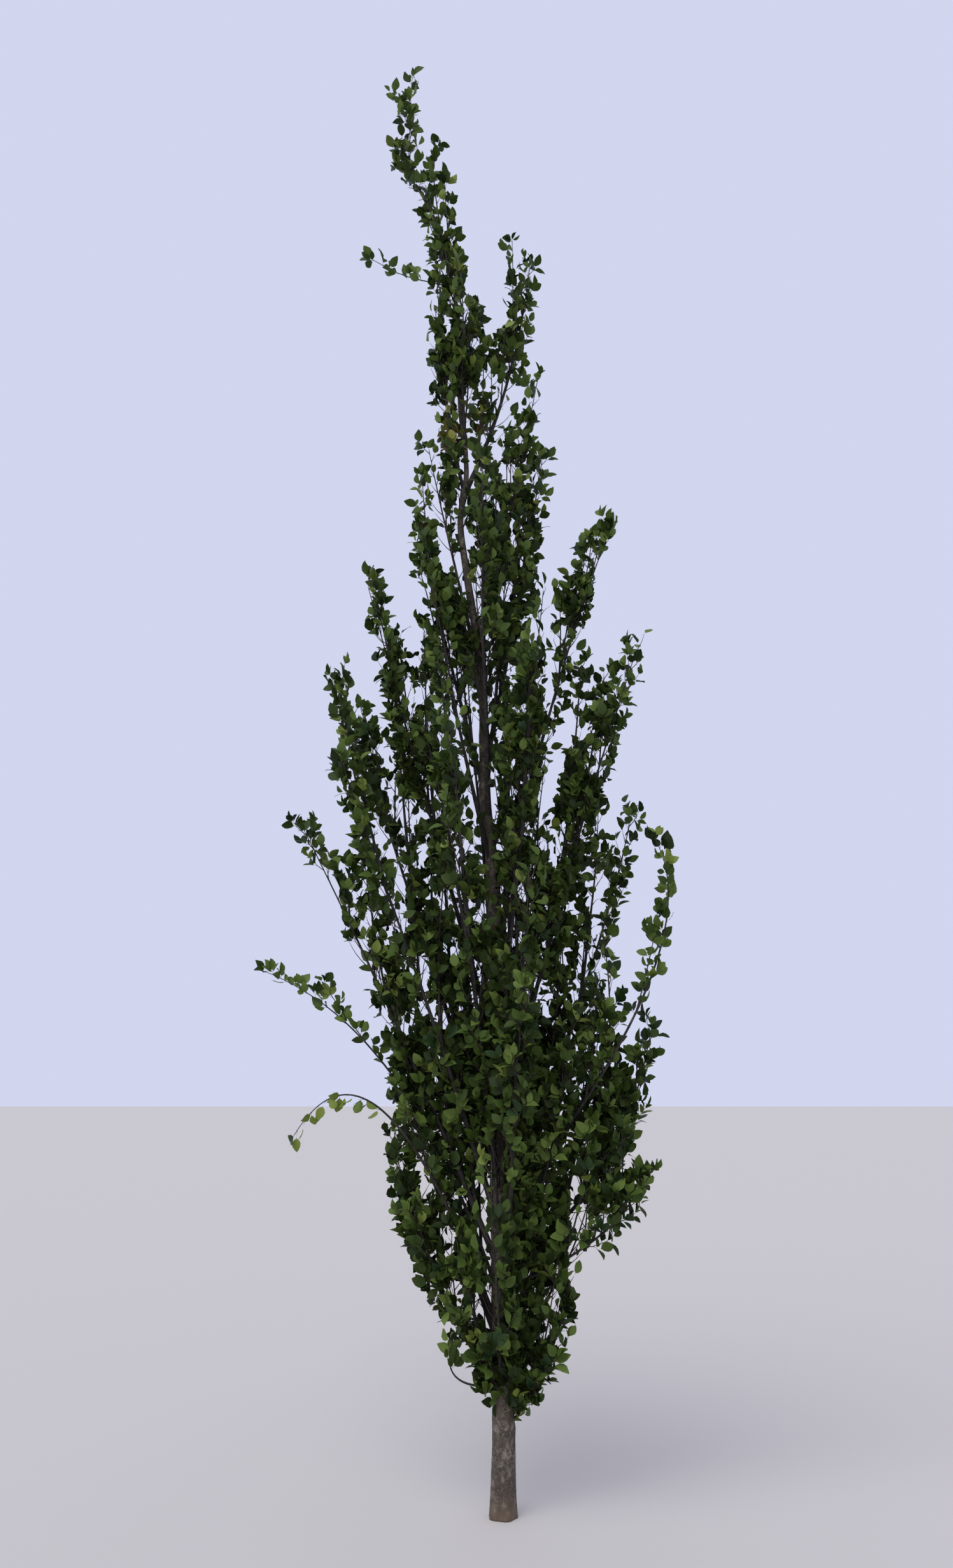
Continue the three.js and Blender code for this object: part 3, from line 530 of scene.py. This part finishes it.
def make_trunk_shoots():
    """Short shoots up the trunk, each turned from the last."""
    low, high = TRUNK_SHOOT_HEIGHTS
    shoots = []
    for k in range(int((high - low) / TRUNK_SHOOT_SPACING)):
        foot, _ = trunk_at(low + k * TRUNK_SHOOT_SPACING)
        angle = k * GOLDEN_ANGLE
        outward = Vector((math.cos(angle), math.sin(angle), 0))
        length = lerp(TRUNK_SHOOT_LENGTH_LOW, TRUNK_SHOOT_LENGTH_HIGH, foot.z / TRUNK_TOP)
        length *= lerp(0.7, 1.3, chance(k * 2.9))
        tip = foot + (UP + outward * TRUNK_SHOOT_LEAN).normalized() * length
        knee = foot.lerp(tip, 0.35) + outward * length * 0.12
        sideways = UP.cross(outward)
        part = next(p for p in TRUNK_SHOOT_PARTS if foot.z < p[0])[1]
        shoots.append(Limb(part, foot, knee, tip, 0.0035, TRUNK_SHOOT_PLUME, 0.15, sideways))
    return shoots


limbs = [make_limb(row) for row in BOUGHED_LIMBS + SLIGHT_LIMBS] + [make_leader()]
side_shoots = [
    shoot
    for number, limb in enumerate(limbs)
    if limb.plume >= SIDE_SHOOT_LEAST_PLUME and not limb.stray
    for shoot in make_side_shoots(limb, number)
]
stray_shoots = [make_stray_shoot(row) for row in STRAY_SHOOTS]
filling_shoots = [
    make_shoot(limb_named(name), start, Vector(tip), plume) for name, start, *tip, plume in FILLING_SHOOTS
]
shoots = limbs + side_shoots + stray_shoots + filling_shoots + [make_curled_twig()] + make_trunk_shoots()


class Pieces:
    """Gathers the corners and faces of many small shapes, to be joined into one mesh."""

    def __init__(self):
        self.corners = []
        self.faces = {3: [], 4: []}  # by number of corners, each array with its tint
        self.count = 0

    def add(self, corners, faces, tint=0):
        """faces is a list of arrays of corner numbers, three or four to a face."""
        for array in faces:
            self.faces[array.shape[1]].append((array + self.count, tint))
        self.corners.append(corners)
        self.count += len(corners)

    def mesh(self, name, materials):
        mesh = bpy.data.meshes.new(name)
        corners = np.concatenate(self.corners)
        mesh.vertices.add(len(corners))
        mesh.vertices.foreach_set("co", corners.astype(np.float32).ravel())
        faces = self.faces[3] + self.faces[4]
        loops = np.concatenate([array.ravel() for array, _ in faces])
        sizes = np.concatenate([np.full(len(array), array.shape[1]) for array, _ in faces])
        tints = np.concatenate([np.full(len(array), tint, np.int32) for array, tint in faces])
        mesh.loops.add(len(loops))
        mesh.loops.foreach_set("vertex_index", loops.astype(np.int32))
        mesh.polygons.add(len(sizes))
        starts = np.concatenate([[0], np.cumsum(sizes)[:-1]]).astype(np.int32)
        mesh.polygons.foreach_set("loop_start", starts)
        mesh.polygons.foreach_set("material_index", tints)
        mesh.polygons.foreach_set("use_smooth", np.ones(len(sizes), bool))
        mesh.update(calc_edges=True)
        mesh.validate()
        for material in materials:
            mesh.materials.append(material)
        return mesh


def add_piece(name, shapes, materials, nodes):
    """Joins shapes into one object that stands for some nodes of the frame."""
    piece = add_object(name, shapes.mesh(name, materials))
    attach(piece, "root")
    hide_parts(*nodes)


def ring_faces(rings, sides):
    """The faces that join rings of corners, and close the last ring to the corner after it."""
    first = np.arange(sides)
    after = (first + 1) % sides
    band = np.stack([first, after, after + sides, first + sides], 1)
    last = (rings - 1) * sides
    cap = np.stack([first + last, after + last, np.full(sides, rings * sides)], 1)
    return [np.concatenate([band + k * sides for k in range(rings - 1)]), cap]


def tube(points, radii, sides, start_side):
    """The corners and faces of a tube on a path, closed to a point at its far end."""
    points = np.asarray(points, float)
    along = np.gradient(points, axis=0)
    along /= np.linalg.norm(along, axis=1)[:, None]
    side = np.asarray(start_side, float)
    rings = []
    angles = np.arange(sides) * 2 * math.pi / sides
    for point, heading, radius in zip(points, along, radii):
        side = side - heading * side.dot(heading)
        side /= np.linalg.norm(side)
        face = np.cross(heading, side)
        ring = np.cos(angles)[:, None] * side + np.sin(angles)[:, None] * face
        rings.append(point + ring * np.reshape(radius, (-1, 1)))
    corners = np.concatenate([*rings, points[-1:] + along[-1:] * np.mean(radii[-1])])
    return corners, ring_faces(len(points), sides)


def spike(start, end, radius, side):
    """The corners and faces of a straight three-sided spike."""
    along = end - start
    first = square_to(along.normalized(), side) * radius
    ring = [start + turned(first, along, k * math.tau / 3) for k in range(3)]
    return np.array([*ring, end]), [np.array([(0, 1, 3), (1, 2, 3), (2, 0, 3)])]


# Trunk mesh: rings closest together where the bark shows.
TRUNK_SIDES = 56
RING_STEP_LOW = 0.006
RING_STEP_HIGH = 0.014
SHOWN_HEIGHT = 0.9
LUMP = 0.0022
WRINKLE = 0.0007
GRAIN = 0.0005


def bark_relief(direction, height, radius):
    """How far the bark stands out: broad lumps, fine level wrinkles, and grain."""
    x, y = direction
    lump = noise.noise(Vector((x * 1.3, y * 1.3, height * 7.0)))
    wrinkle = noise.noise(Vector((x * 2.2 + 7, y * 2.2, height * 95.0)))
    grain = noise.noise(Vector((x * 6.0, y * 6.0, height * 60.0 + 3)))
    strength = min(radius / 0.045, 1.0)
    return strength * (LUMP * lump + WRINKLE * wrinkle + GRAIN * grain)


def limb_collars():
    """Where each limb leaves the trunk: height, angle round the trunk, and radius of the limb."""
    collars = []
    for limb in limbs[:-1]:
        ahead = limb.at(0.06) - limb.foot
        collars.append((limb.foot.z + 0.012, math.atan2(ahead.y, ahead.x), limb.radius(0.02)))
    return collars


def build_trunk():
    """The trunk from its flat cut to its top, with flare, bark relief and a collar under each limb."""
    heights = [0.0]
    while heights[-1] < TRUNK_TOP:
        share = min(heights[-1] / SHOWN_HEIGHT, 1)
        heights.append(heights[-1] + lerp(RING_STEP_LOW, RING_STEP_HIGH, share))
    heights[-1] = TRUNK_TOP
    collars = limb_collars()
    angles = np.arange(TRUNK_SIDES) * 2 * math.pi / TRUNK_SIDES
    rings = []
    for height in heights:
        centre, radius = trunk_at(height)
        near = [c for c in collars if abs(c[0] - height) < 0.12]
        ring = []
        for angle in angles:
            direction = (math.cos(angle), math.sin(angle))
            flare = FLARE * math.exp(-height / FLARE_HEIGHT)
            reach = radius + flare * (1 + 0.5 * math.cos(FLARE_LOBES * angle))
            reach += bark_relief(direction, height, radius)
            for collar_height, collar_angle, collar_radius in near:
                aside = math.atan2(math.sin(angle - collar_angle), math.cos(angle - collar_angle)) * radius
                below = (height - collar_height) * (0.55 if height < collar_height else 1.0)
                spread = 1.5 * collar_radius
                reach += 0.4 * collar_radius * math.exp(-(aside**2 + below**2) / (2 * spread**2))
            ring.append((centre.x + direction[0] * reach, centre.y + direction[1] * reach, height))
        rings.append(ring)
    corners = np.concatenate([*rings, [trunk_at(TRUNK_TOP)[0], (0, 0, 0)]])
    first = np.arange(TRUNK_SIDES)
    foot_cap = np.stack([(first + 1) % TRUNK_SIDES, first, np.full(TRUNK_SIDES, len(corners) - 1)], 1)
    shapes = Pieces()
    shapes.add(corners, [*ring_faces(len(rings), TRUNK_SIDES), foot_cap])
    return shapes


LIMB_STEP = 0.024
LIMB_RELIEF = 0.10
LIMB_SIDES, SHOOT_SIDES = 9, 6  # of the main limbs, and of their shoots


def build_limbs():
    """Every limb from inside the trunk to its last leaves, with knots and a rough surface."""
    shapes = Pieces()
    for number, limb in enumerate(shoots):
        if limb.drawn_end <= 0:
            continue
        sides = LIMB_SIDES if limb in limbs else SHOOT_SIDES
        steps = max(8, round(limb.length / LIMB_STEP))
        points, radii = [], []
        for k in range(steps + 1):
            t = k / steps * limb.drawn_end
            points.append(limb.at(t))
            place = (t * limb.length * 26, number * 3.7)
            rough = np.array([noise.noise(Vector((s * 0.9, *place))) for s in range(sides)])
            radii.append(limb.radius(t) * (1 + LIMB_RELIEF * rough))
        shapes.add(*tube(points, radii, sides, limb.sideways))
    return shapes


def leaf_shape(cup, droop, wave, phase):
    """One leaf, its stalk's end at the origin and its blade from there one unit along Y, upper side +Z."""
    corners = [(0, -PETIOLE, 0.03)]
    for row, s in enumerate(LEAF_ROWS):
        wide = LEAF_WIDTH / 2 * math.sin(math.pi * s**0.86) ** 0.84 if row else STALK_WIDTH / 2
        for side in (-1, 0, 1):
            ripple = wave * math.sin(row * 2.5 + phase + side * 1.1) * abs(side)
            corners.append((side * wide, s, cup * wide * abs(side) - droop * s * s + ripple * s))
    corners.append((0, 1, -droop * 1.15))
    quads, triangles = [], []
    last = len(corners) - 1
    for c in (0, 1):
        triangles.append((0, c + 2, c + 1))
        triangles.append((last - 3 + c, last - 2 + c, last))
        for r in range(len(LEAF_ROWS) - 1):
            low = 1 + r * 3 + c
            quads.append((low, low + 1, low + 4, low + 3))
    return np.array(corners, float), [np.array(triangles), np.array(quads)]


LEAF_SHAPES = [
    leaf_shape(cup=0.42, droop=0.10, wave=0.035, phase=0.0),
    leaf_shape(cup=0.25, droop=0.20, wave=0.045, phase=1.3),
    leaf_shape(cup=0.62, droop=0.05, wave=0.030, phase=2.4),
    leaf_shape(cup=0.10, droop=0.28, wave=0.055, phase=4.0),
]


def nearest_on(line, points):
    """The distance from each of some points to a line of straight links."""
    a, b = line[:-1], line[1:]
    link = b - a
    share = np.einsum("plk,lk->pl", points[:, None] - a, link) / np.einsum("lk,lk->l", link, link)
    closest = a + link * np.clip(share, 0, 1)[..., None]
    return np.linalg.norm(points[:, None] - closest, axis=2).min(axis=1)


def make_holes():
    """The small holes, each with both ends of its middle line and its width, as a gap has."""
    holes = []
    for k in range(HOLES):
        z = lerp(*HOLE_HEIGHTS, (k + 0.5) / HOLES)
        x = trunk_at(z)[0].x + HOLE_REACH * (2 * chance(k * 1.7) - 1)
        length = lerp(*HOLE_LENGTHS, chance(k * 4.1))
        lean = 0.5 * (chance(k * 2.3) - 0.5)
        holes.append((x, z, x + lean * length, z + length, lerp(*HOLE_WIDTHS, chance(k * 3.1))))
    return holes


open_places = list(GAPS) + make_holes()


def in_gap(points):
    """Which of some points the camera sees in a gap of the crown."""
    eye = np.array(EYE)
    on_plane = eye + (points - eye) * -eye[1] / (points[:, 1:2] - eye[1])
    inside = np.zeros(len(points), bool)
    for x0, z0, x1, z1, width in open_places:
        inside |= nearest_on(np.array([(x0, z0), (x1, z1)]), on_plane[:, [0, 2]]) < width / 2
    return inside


class Foliage:
    """The twigs, spurs and leaves of one limb."""

    def __init__(self, number, limb):
        self.limb = limb
        self.filler = limb not in limbs and not limb.stray  # may be cut short or left out
        self.rng = random.Random(number * 31 + 5)
        self.twigs = []  # points, side
        self.twig_places = []  # how far along the limb each twig stands
        self.spurs = []  # points, side, and the twig and node that it stands on
        self.leaves = []  # root, direction, facing, length, tint, shape, spur

    def jitter(self, amount):
        return Vector([self.rng.uniform(-amount, amount) for _ in range(3)])

    def pick_tint(self, t):
        """Sprays are lighter towards the tip of a limb and towards the top of the tree: partly the colour
        of young leaves, partly painted highlight where the sky lights the outer crown.
        """
        light = max(t, min(self.limb.at(t).z / TREE_HEIGHT, 1))
        weights = [lerp(foot, tip, light) for _, _, foot, tip in TINTS]
        return self.rng.choices(range(len(TINTS)), weights)[0]

    def turned_tint(self, place, tint):
        """The tint of a spray, or one of autumn for some in the places that turn early."""
        for middle, size in TURNED_PLACES:
            if (place - Vector(middle)).length < size and self.rng.random() < TURNED_SHARE:
                return self.rng.choice(TURNED_TINTS)
        return tint

    def add_leaf(self, root, direction, facing, tint):
        share = min(root.z / TREE_HEIGHT, 1)
        length = lerp(LEAF_LENGTH_LOW, LEAF_LENGTH_HIGH, share) * self.rng.uniform(*LENGTH_CHANCES)
        direction = (direction + self.jitter(DIRECTION_JITTER)).normalized()
        facing = square_to(direction, facing + self.jitter(FACING_JITTER))
        shape = self.rng.randrange(len(LEAF_SHAPES))
        self.leaves.append((root, direction, facing, length, tint, shape, len(self.spurs)))

    def add_spur(self, foot, heading, facing, length, count, tint, on_twig=None, rise=LEAF_RISE):
        """A short shoot whose few leaves fan out from its end."""
        end = foot + heading * length
        across = heading.cross(facing).normalized()
        tint = self.turned_tint(end, tint)
        for k in range(count):
            fan = LEAF_FAN * (2 * k / (count - 1) - 1) if count > 1 else 0.0
            back = abs(fan) / LEAF_FAN * length * 0.5
            aside = across * math.sin(fan)
            direction = heading * math.cos(fan) + aside + UP * rise
            self.add_leaf(end - heading * back, direction, facing - aside * LEAF_CLOSE, tint)
        self.spurs.append(([foot, end], facing, on_twig))

    def grow_twig(self, t, turn, length):
        """A zigzag twig that bends upwards, with a leafy spur at each of its nodes."""
        limb = self.limb
        along = limb.heading(t)
        out = turned(square_to(along, limb.sideways), along, turn)
        across = along.cross(out).normalized()
        splay = lerp(TWIG_SPLAY_FOOT, TWIG_SPLAY_TIP, t)
        heading = along * math.cos(splay) + out * math.sin(splay)
        twig_tint = self.pick_tint(t)
        nodes = max(2, round(length / NODE_SPACING))
        step = length / nodes
        points = [limb.at(t)]
        facing = (out * 0.7 + UP * 0.5 + self.jitter(0.3)).normalized()
        for k in range(nodes):
            side = across * (1 if k % 2 else -1)
            heading = (heading + UP * TWIG_LIFT + side * ZIGZAG * 0.5 + self.jitter(0.05)).normalized()
            points.append(points[-1] + heading * step)
            tint = self.pick_tint(t) if self.rng.random() < SPUR_OWN_TINT else twig_tint
            on_twig = (len(self.twigs), k + 1)
            if k == nodes - 1:
                self.add_spur(points[-1], heading, facing, SPUR_LENGTH * 0.5, 3, tint, on_twig)
                continue
            spread = heading * math.cos(SPUR_SPLAY) + side * math.sin(SPUR_SPLAY)
            left = 1 - (k + 1) / nodes
            spur = SPUR_LENGTH * lerp(0.5, 1.6, left) * self.rng.uniform(0.7, 1.3)
            count = self.rng.choice(SPUR_COUNTS_TIP if left < TWIG_TIP_SHARE else SPUR_COUNTS)
            self.add_spur(points[-1], spread.normalized(), facing, spur, count, tint, on_twig)
        self.twigs.append((points, facing))
        self.twig_places.append(t)

    def grow_tufts(self):
        """Leaves in tufts along the upper side of the limb itself, or hanging from a limb that droops."""
        limb = self.limb
        drooping = limb.name == DROOPING
        spacing = DROOPING_SPACING if drooping else TUFT_SPACING
        count = round(limb.length * (1 - limb.bare) / spacing)
        for k in range(count):
            t = lerp(limb.bare, limb.leafy_end, (k + 0.5) / count)
            along = limb.heading(t)
            upper = square_to(along, UP + self.jitter(0.3)) * (-0.3 if drooping or k % 3 == 1 else 1.0)
            aside = along.cross(upper) * (1 if k % 2 else -1)
            heading = (upper + aside * 0.5 + along * 0.6).normalized()
            facing = (upper * 0.3 - along * 0.6 + aside * 0.8).normalized()
            length = TUFT_LENGTH * self.rng.uniform(0.5, 1.6)
            leaves = self.rng.choice((1, 1, 2) if drooping else (2, 2, 3, 4))
            # Painted backlight: the drooping twig's leaves take only the lightest tints.
            tint = self.rng.choice(BACKLIT_DROOPING_TINTS) if drooping else self.pick_tint(1)
            rise = DROOPING_RISE if drooping else LEAF_RISE
            self.add_spur(limb.at(t), heading, facing, length, leaves, tint, rise=rise)
        end, along = limb.at(limb.leafy_end), limb.heading(1)
        self.add_spur(end, along, square_to(along, UP), 0.006, 2, self.pick_tint(1), rise=0.0)

    def grow(self, number):
        """Twigs all along the leafy part, each turned from the last, or tufts on a stray shoot."""
        limb = self.limb
        if limb.stray:
            self.grow_tufts()
            return
        leafy = limb.bare * LEAFY_FROM
        first, second = TWIG_SPACING_HEIGHTS
        high = min(max((limb.tip.z - first) / (second - first), 0), 1)
        spacing = lerp(TWIG_SPACING_LOW, TWIG_SPACING_HIGH, high)
        if limb.tip.z > TOP_HEIGHT:
            spacing = TWIG_SPACING_TOP
        count = max(3, round(limb.length * (limb.leafy_end - leafy) / spacing))
        for k in range(count):
            share = (k + 0.5) / count
            shape = max(math.sin(math.pi * (0.24 + 0.68 * share)), CROWN_SHAPE_LEAST)
            length = limb.plume * TWIG_LENGTH * shape * lerp(0.8, 1.2, chance(number * 31 + k * 5.3))
            length = max(length - LEAF_ALLOWANCE, NODE_SPACING)
            self.grow_twig(lerp(leafy, limb.leafy_end, share), k * GOLDEN_ANGLE + number * 77, length)
        facing = (limb.tip - limb.foot).normalized() * 0.6 + UP * 0.4
        self.add_spur(limb.at(limb.leafy_end), limb.heading(1), facing, 0.01, 3, self.pick_tint(1))

    def keep_to_space(self):
        """Drops the leaves that reach too far out, well into another limb's space, or into a gap."""
        roots, directions, facings = (np.array([leaf[k] for leaf in self.leaves]) for k in range(3))
        lengths = np.array([leaf[3] for leaf in self.leaves])[:, None]
        tips = roots + directions * lengths
        own = nearest_on(self.limb.stem_points, tips)
        kept = own < self.limb.plume * SPACE_REACH
        if self.limb in limbs:
            for other in limbs:
                if other is not self.limb:
                    kept &= nearest_on(other.stem_points, tips) > own - SPACE_OVERLAP
        middles = roots + directions * lengths * 0.6
        half_widths = np.cross(directions, facings) * lengths * LEAF_WIDTH / 2
        strict = np.array([self.rng.random() > GAP_LEAVES_KEPT for _ in self.leaves])
        for points in (roots, middles, tips, middles - half_widths, middles + half_widths):
            kept &= ~(in_gap(points) & strict)
        if self.filler:
            in_gaps = in_gap(self.limb.stem_points).mean()
            if kept.mean() < SHOOT_LEAVES_LEAST or in_gaps > SHOOT_IN_GAPS_MOST:
                kept[:] = False
        self.leaves = [leaf for leaf, keep in zip(self.leaves, kept) if keep]

    def drop_bare_shoots(self):
        """Takes away the spurs that have lost their leaves, and each twig past its last leafy spur."""
        leafy = sorted({leaf[6] for leaf in self.leaves})
        self.spurs = [self.spurs[number] for number in leafy]
        last_nodes = {}
        for _, _, on_twig in self.spurs:
            if on_twig:
                twig, node = on_twig
                last_nodes[twig] = max(node, last_nodes.get(twig, 0))
        if self.filler:
            self.limb.drawn_end = max([self.twig_places[number] for number in last_nodes], default=0)
        self.twigs = [
            (points[: last_nodes[number] + 1], side)
            for number, (points, side) in enumerate(self.twigs)
            if number in last_nodes
        ]


def build_foliage(part_limbs):
    """The twigs and the leaves of one part of the crown, each kind gathered apart."""
    twigs, leaves = Pieces(), Pieces()
    for limb in part_limbs:
        number = shoots.index(limb)
        foliage = Foliage(number, limb)
        foliage.grow(number)
        foliage.keep_to_space()
        foliage.drop_bare_shoots()
        for points, side in foliage.twigs:
            radii = np.linspace(TWIG_RADIUS, TWIG_TIP_RADIUS, len(points))
            twigs.add(*tube(points, radii, 3, square_to((points[1] - points[0]).normalized(), side)))
        for points, side, _ in foliage.spurs:
            twigs.add(*spike(points[0], points[1], TWIG_TIP_RADIUS * 1.4, side))
        for root, direction, facing, length, tint, shape, _ in foliage.leaves:
            corners, faces = LEAF_SHAPES[shape]
            basis = np.array([direction.cross(facing), direction, facing])
            placed = (corners + (0, PETIOLE, 0)) @ basis * length + np.array(root)
            leaves.add(placed, faces, tint)
    return twigs, leaves


LEAF_ROUGHNESS = 0.55
LEAF_GLOSS = 0.14
BARK_ROUGHNESS = 0.82
# Patches of the bark: how fine they are, and the two levels of noise between which they fade.
BLOTCHES = (11, 0.42, 0.62)
LICHEN = (30, 0.50, 0.68)
CRACKS = (85, 0.55, 0.66)
SPECKS = (130, 0.57, 0.66)
SOILED_HEIGHT = 0.11
SOIL = (0.128, 0.084, 0.051)
SOIL_STRENGTH = 0.75
RELIEF_STRENGTH = 0.5
RELIEF_DEPTH = 0.002
FLOOR_SIZE = 60.0
FLOOR_COLOUR = (0.55, 0.52, 0.48)
FLOOR_ROUGHNESS = 0.9
SKY_COLOUR = (0.64, 0.67, 0.86)
SUN_STRENGTH = 1.6
SUN_BREADTH = math.radians(50)
SUN_TURN = (math.radians(38), 0, math.radians(-30))


def node_material(name, colour, roughness):
    """A material of one colour and roughness, and its shader."""
    material = bpy.data.materials.new(name)
    material.use_nodes = True
    shader = material.node_tree.nodes["Principled BSDF"]
    shader.inputs["Base Color"].default_value = (*colour, 1)
    shader.inputs["Roughness"].default_value = roughness
    return material, shader


def leaf_material(name, colour):
    material, shader = node_material(name, colour, LEAF_ROUGHNESS)
    shader.inputs["Specular IOR Level"].default_value = LEAF_GLOSS
    return material


def add_noise(nodes, links, place, scale, patches):
    """A mask of soft patches."""
    fineness, low, high = patches
    texture = nodes.new("ShaderNodeTexNoise")
    texture.inputs["Scale"].default_value = fineness * scale
    texture.inputs["Detail"].default_value = 6
    texture.inputs["Roughness"].default_value = 0.65
    links.new(place, texture.inputs["Vector"])
    ramp = nodes.new("ShaderNodeValToRGB")
    ramp.color_ramp.elements[0].position = low
    ramp.color_ramp.elements[1].position = high
    links.new(texture.outputs["Fac"], ramp.inputs["Fac"])
    return ramp.outputs["Color"]


def add_mix(nodes, links, mask, under, over):
    """One colour laid over another where the mask is white. Each is a colour or another mix."""
    mix = nodes.new("ShaderNodeMix")
    mix.data_type = "RGBA"
    links.new(mask, mix.inputs["Factor"])
    for slot, colour in (("A", under), ("B", over)):
        if isinstance(colour, tuple):
            mix.inputs[slot].default_value = (*colour, 1)
        else:
            links.new(colour, mix.inputs[slot])
    return mix.outputs["Result"]


def bark_material(name, base, dark, pale, scale, soiled=False):
    """Grey bark with dark blotches and cracks, and patches and specks of pale lichen."""
    material, shader = node_material(name, base, BARK_ROUGHNESS)
    nodes, links = material.node_tree.nodes, material.node_tree.links
    coordinates = nodes.new("ShaderNodeTexCoord").outputs["Object"]
    flat = nodes.new("ShaderNodeMapping")
    flat.inputs["Scale"].default_value = (1, 1, 0.8)
    links.new(coordinates, flat.inputs["Vector"])
    level = flat.outputs["Vector"]
    layers = (
        (coordinates, BLOTCHES, base),
        (level, LICHEN, pale),
        (level, CRACKS, dark),
        (coordinates, SPECKS, pale),
    )
    colour = dark
    masks = []
    for place, patches, over in layers:
        masks.append(add_noise(nodes, links, place, scale, patches))
        colour = add_mix(nodes, links, masks[-1], colour, over)
    if soiled:
        height = nodes.new("ShaderNodeSeparateXYZ")
        links.new(coordinates, height.inputs["Vector"])
        soil = nodes.new("ShaderNodeMapRange")
        soil.inputs["From Min"].default_value = SOILED_HEIGHT
        soil.inputs["From Max"].default_value = 0.0
        soil.inputs["To Max"].default_value = SOIL_STRENGTH
        links.new(height.outputs["Z"], soil.inputs["Value"])
        colour = add_mix(nodes, links, soil.outputs["Result"], colour, SOIL)
    links.new(colour, shader.inputs["Base Color"])
    bump = nodes.new("ShaderNodeBump")
    bump.inputs["Strength"].default_value = RELIEF_STRENGTH
    bump.inputs["Distance"].default_value = RELIEF_DEPTH
    links.new(masks[1], bump.inputs["Height"])  # the lichen stands out
    links.new(bump.outputs["Normal"], shader.inputs["Normal"])
    return material


def add_stage():
    """A plain pale floor, a pale overcast sky and one broad soft light."""
    mesh = bpy.data.meshes.new("floor")
    corners = [(x * FLOOR_SIZE, y * FLOOR_SIZE, 0) for x, y in ((-1, -1), (1, -1), (1, 1), (-1, 1))]
    mesh.from_pydata(corners, [], [(0, 1, 2, 3)])
    material, _ = node_material("floor", FLOOR_COLOUR, FLOOR_ROUGHNESS)
    mesh.materials.append(material)
    add_object("floor", mesh)
    world = bpy.data.worlds.new("sky")
    world.use_nodes = True
    background = world.node_tree.nodes["Background"]
    background.inputs["Color"].default_value = (*SKY_COLOUR, 1)
    background.inputs["Strength"].default_value = 1.0
    bpy.context.scene.world = world
    data = bpy.data.lights.new("soft_light", "SUN")
    data.energy = SUN_STRENGTH
    data.angle = SUN_BREADTH
    add_object("soft_light", data).rotation_euler = SUN_TURN


bpy.context.scene.view_settings.view_transform = "Standard"
add_camera()
add_stage()

trunk_bark = bark_material(
    "trunk_bark", (0.083, 0.063, 0.043), (0.046, 0.035, 0.025), (0.225, 0.190, 0.148), 1.3, soiled=True
)
# The boughs' bark is a much darker copy of the trunk's: painted shade of the inner crown.
bough_bark = bark_material(
    "bough_bark", (0.032, 0.026, 0.021), (0.014, 0.011, 0.009), (0.070, 0.062, 0.048), 1.6
)
twig_bark, _ = node_material("twig_bark", (0.045, 0.030, 0.022), 0.6)
leaf_materials = [leaf_material(name, colour) for name, colour, _, _ in TINTS]

add_piece("trunk_with_bark", build_trunk(), [trunk_bark], ["trunk"])
for part, first_words in CROWN_PARTS.items():
    part_shoots = [shoot for shoot in shoots if shoot.name.split("_")[0] in first_words]
    part_nodes = ["foliage_" + limb.name for limb in limbs if limb in part_shoots]
    twigs, leaves = build_foliage(part_shoots)
    add_piece("twigs_" + part, twigs, [twig_bark], part_nodes)
    add_piece("leaves_" + part, leaves, leaf_materials, part_nodes)
bough_nodes = ["bough_" + row[0] for row in BOUGHED_LIMBS]
add_piece("boughs_with_bark", build_limbs(), [bough_bark], bough_nodes)
